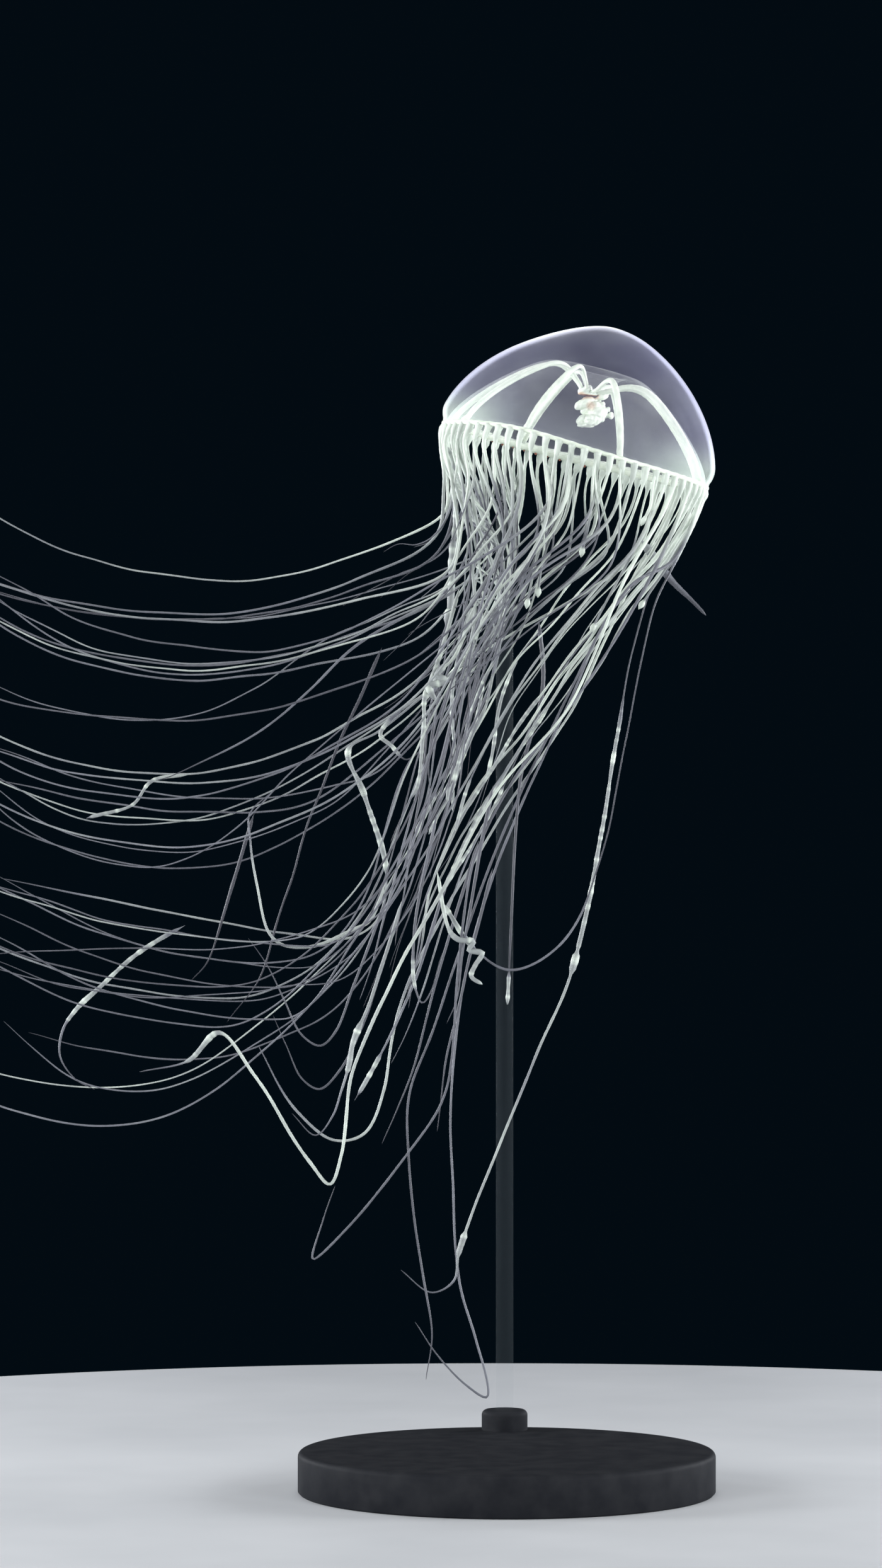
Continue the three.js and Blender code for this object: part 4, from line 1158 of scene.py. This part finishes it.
# Stretches that are drawn up thick: which thread, where they start and end, [across, up], and how thick.
DRAWN = (
    (0, (-0.83, -1.07), (-0.69, -1.5), 2.3),
    (1, (-1.26, -2.07), (-1.37, -2.17), 1.5),
    (6, (0.18, -0.9), (0.02, -1.78), 1.7),
    (6, (0.01, -1.82), (0.0, -1.87), 2.6),
    (6, (-0.4, -2.84), (-0.42, -2.89), 2.2),
    (3, (-0.93, -2.85), (-0.94, -2.88), 2.2),
    (7, (-0.38, -1.76), (-0.47, -1.62), 2.0),
)
# How much thicker each is from a bell's width down, and how pale.
STRAGGLER_GIRTHS = (1.05, 1.6, 1.4, 1.15, 1.2, 1.2, 1.35, 1.15)
STRAGGLER_LEVELS = (0.85, 1.15, 0.95, 0.5, 0.6, 0.4, 0.85, 0.65)
# The two nearest +X are stretched thin and faint as far down as these places.
FAINT_UNTIL = {6: (0.18, -0.86), 7: (0.05, -1.55)}


def run_near(line, x, z):
    """How far along the line its nearest point to (x, z) is."""
    k = min(range(len(line)), key=lambda k: (line[k].x - D * x) ** 2 + (line[k].z - D * z) ** 2)
    return lengths_of(line)[k]


straggling_routes = []
for order, i in enumerate(straggling_ones):
    line = straggler_line(i, order)
    swollen = [
        (run_near(line, *start), run_near(line, *end), factor)
        for which, start, end, factor in DRAWN
        if which == order
    ]
    route = thread_route(i, line, 1.1, STRAGGLER_LEVELS[order], 0.25, swollen)
    faint = run_near(line, *FAINT_UNTIL[order]) if order in FAINT_UNTIL else 0
    shares = [1 - 0.65 * window(k * STEP, 0.4 * D, faint, 0.15 * D) for k in range(len(route))]
    girths = [lerp(1, STRAGGLER_GIRTHS[order], ease((k * STEP - D) / D)) for k in range(len(route))]
    straggling_routes.append([
        (place, thick * girth * lerp(share, 1, 0.4), paleness_and_shade * share)
        for girth, share, (place, thick, paleness_and_shade) in zip(girths, shares, route)
    ])
straggling = add_tubes("tentacles_straggling", straggling_routes, 8, thread_tissue)
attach(straggling, "root")
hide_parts(*[f"tentacle_end_{k + 1:02}" for k in range(20, 28)])


# STAND
# A turned base of black acrylic with a collar, and a polished clear rod that is heated, bent forward at its
# top and cemented into a small clear cup, which the back of the bell rests on.
BASE_RADIUS = 30 * MM
BASE_THICKNESS = 6 * MM
BASE_ROUND = 0.8 * MM
COLLAR_RADIUS = 3.4 * MM
COLLAR_HEIGHT = 9 * MM
ROD_RADIUS = 1.3 * MM
ROD_Y = 26 * MM
ROD_BEND = 5 * MM
CHAMFER = 0.3 * MM
SOCKET_FLOOR = 2 * MM

base_acrylic, shader = new_finish("base_acrylic", {"Roughness": 0.6, "Specular IOR Level": 0.03})
add_mottle(base_acrylic, shader, (0.012, 0.013, 0.016), (0.018, 0.019, 0.022), 300, 1500, 0.04)


def disc_line(radius, height, round_off):
    """The line of a disc with a rounded upper edge and a fine chamfer below."""
    corner = [
        (radius - round_off * (1 - math.cos(turn)), height - round_off * (1 - math.sin(turn)))
        for turn in evenly(0, math.pi / 2, 6)
    ]
    return [(0, 0), (radius - CHAMFER, 0), (radius, CHAMFER), *corner, (0, height)]


bm = bmesh.new()
turn_line(bm, disc_line(BASE_RADIUS, BASE_THICKNESS, BASE_ROUND), 160)
collar = bmesh.new()
turn_line(collar, disc_line(COLLAR_RADIUS, COLLAR_HEIGHT, BASE_ROUND), 64)
collar.transform(Matrix.Translation((0, ROD_Y, 0)))
collar_mesh = bpy.data.meshes.new("collar_draft")
collar.to_mesh(collar_mesh)
collar.free()
bm.from_mesh(collar_mesh)
bpy.data.meshes.remove(collar_mesh)
base = new_piece("base_disc", bm, base_acrylic)
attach(base, "root")
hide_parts("stand_base")

rod_acrylic, shader = new_finish("rod_acrylic", {
    "Base Color": (0.20, 0.24, 0.27, 1), "Roughness": 0.2, "IOR": 1.3, "Alpha": 0.035,
})
rest_low, rest_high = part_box("stand_cup")
rest = (rest_low + rest_high) / 2
rod_route = [(Vector((0, ROD_Y, SOCKET_FLOOR)), ROD_RADIUS, 0)]
for turn in evenly(0, math.pi / 2, 16):
    back = ROD_BEND * (1 - math.cos(turn))
    low = ROD_BEND * (1 - math.sin(turn))
    rod_route.append((Vector((0, ROD_Y - back, rest.z - low)), ROD_RADIUS, 0))
rod_route.append((Vector((0, rest_high.y + 0.1 * MM, rest.z)), ROD_RADIUS, 0))
rod = add_tubes("clear_rod", [rod_route], 20, rod_acrylic)
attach(rod, "root")
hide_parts("stand_rod")
cup = frame["nodes"]["stand_cup"]
cup.material_slots[0].material = rod_acrylic


# FLOOR, LIGHT AND CAMERA
# A pale round table of matt board stands under the model. Six soft lamps ring it, a seventh hangs above it,
# and behind it is the dark of a tank.
bm = bmesh.new()
table_edge = ((0, -20), (178, -20), (180, -18), (180, -2), (178, 0), (0, 0))
turn_line(bm, [(radius * MM, height * MM) for radius, height in table_edge], 128)
table_finish, shader = new_finish("table_finish", {"Roughness": 0.9, "Specular IOR Level": 0.1})
add_mottle(table_finish, shader, (0.38, 0.39, 0.41), (0.42, 0.43, 0.45), 20, 300, 0.02)
table = new_piece("table", bm, table_finish)

world = bpy.data.worlds.new("tank_dark")
world.use_nodes = True
world.node_tree.nodes["Background"].inputs["Color"].default_value = (0.001, 0.0034, 0.006, 1)
bpy.context.scene.world = world


def add_lamp(name, place, aim, size, power, colour):
    lamp = bpy.data.lights.new(name, "AREA")
    lamp.shape = "DISK"
    lamp.size = size
    lamp.energy = power
    lamp.color = colour
    holder = add_object(name, lamp)
    holder.location = place
    holder.rotation_euler = (Vector(aim) - Vector(place)).to_track_quat("-Z", "Y").to_euler()
    holder.visible_camera = False


LAMP_HEIGHT = 0.16
FRONT_LIGHT = (0.97, 0.99, 1.0)
BACK_LIGHT = (0.93, 0.96, 1.0)
for row, across, back, power, colour in (
    ("front_", 0.42, -0.58, 3.2, FRONT_LIGHT),
    ("", 0.50, 0.0, 3.0, FRONT_LIGHT),
    ("back_", 0.42, 0.40, 1.6, BACK_LIGHT),
):
    for side, sign in (("left", -1), ("right", 1)):
        place = (sign * across, back, LAMP_HEIGHT)
        add_lamp(f"lamp_{row}{side}", place, (0, 0, LAMP_HEIGHT - 0.01), 0.22, power, colour)
add_lamp("lamp_top", (0.0, 0.05, 0.70), (0, 0, 0.15), 0.30, 2.0, (1.0, 1.0, 1.0))

CAMERA_DISTANCE = 800 * MM
AIM_ACROSS = -9.43 * MM
AIM_HEIGHT = 101.7 * MM
camera_data = bpy.data.cameras.new("camera")
camera_data.sensor_width = 36
camera_data.lens = 127.9
camera = add_object("camera", camera_data)
camera.location = (AIM_ACROSS, -CAMERA_DISTANCE, AIM_HEIGHT)
camera.rotation_euler = (math.pi / 2, 0, 0)
camera_data.clip_start = 0.01
bpy.context.scene.camera = camera
bpy.context.scene.view_settings.view_transform = "Standard"
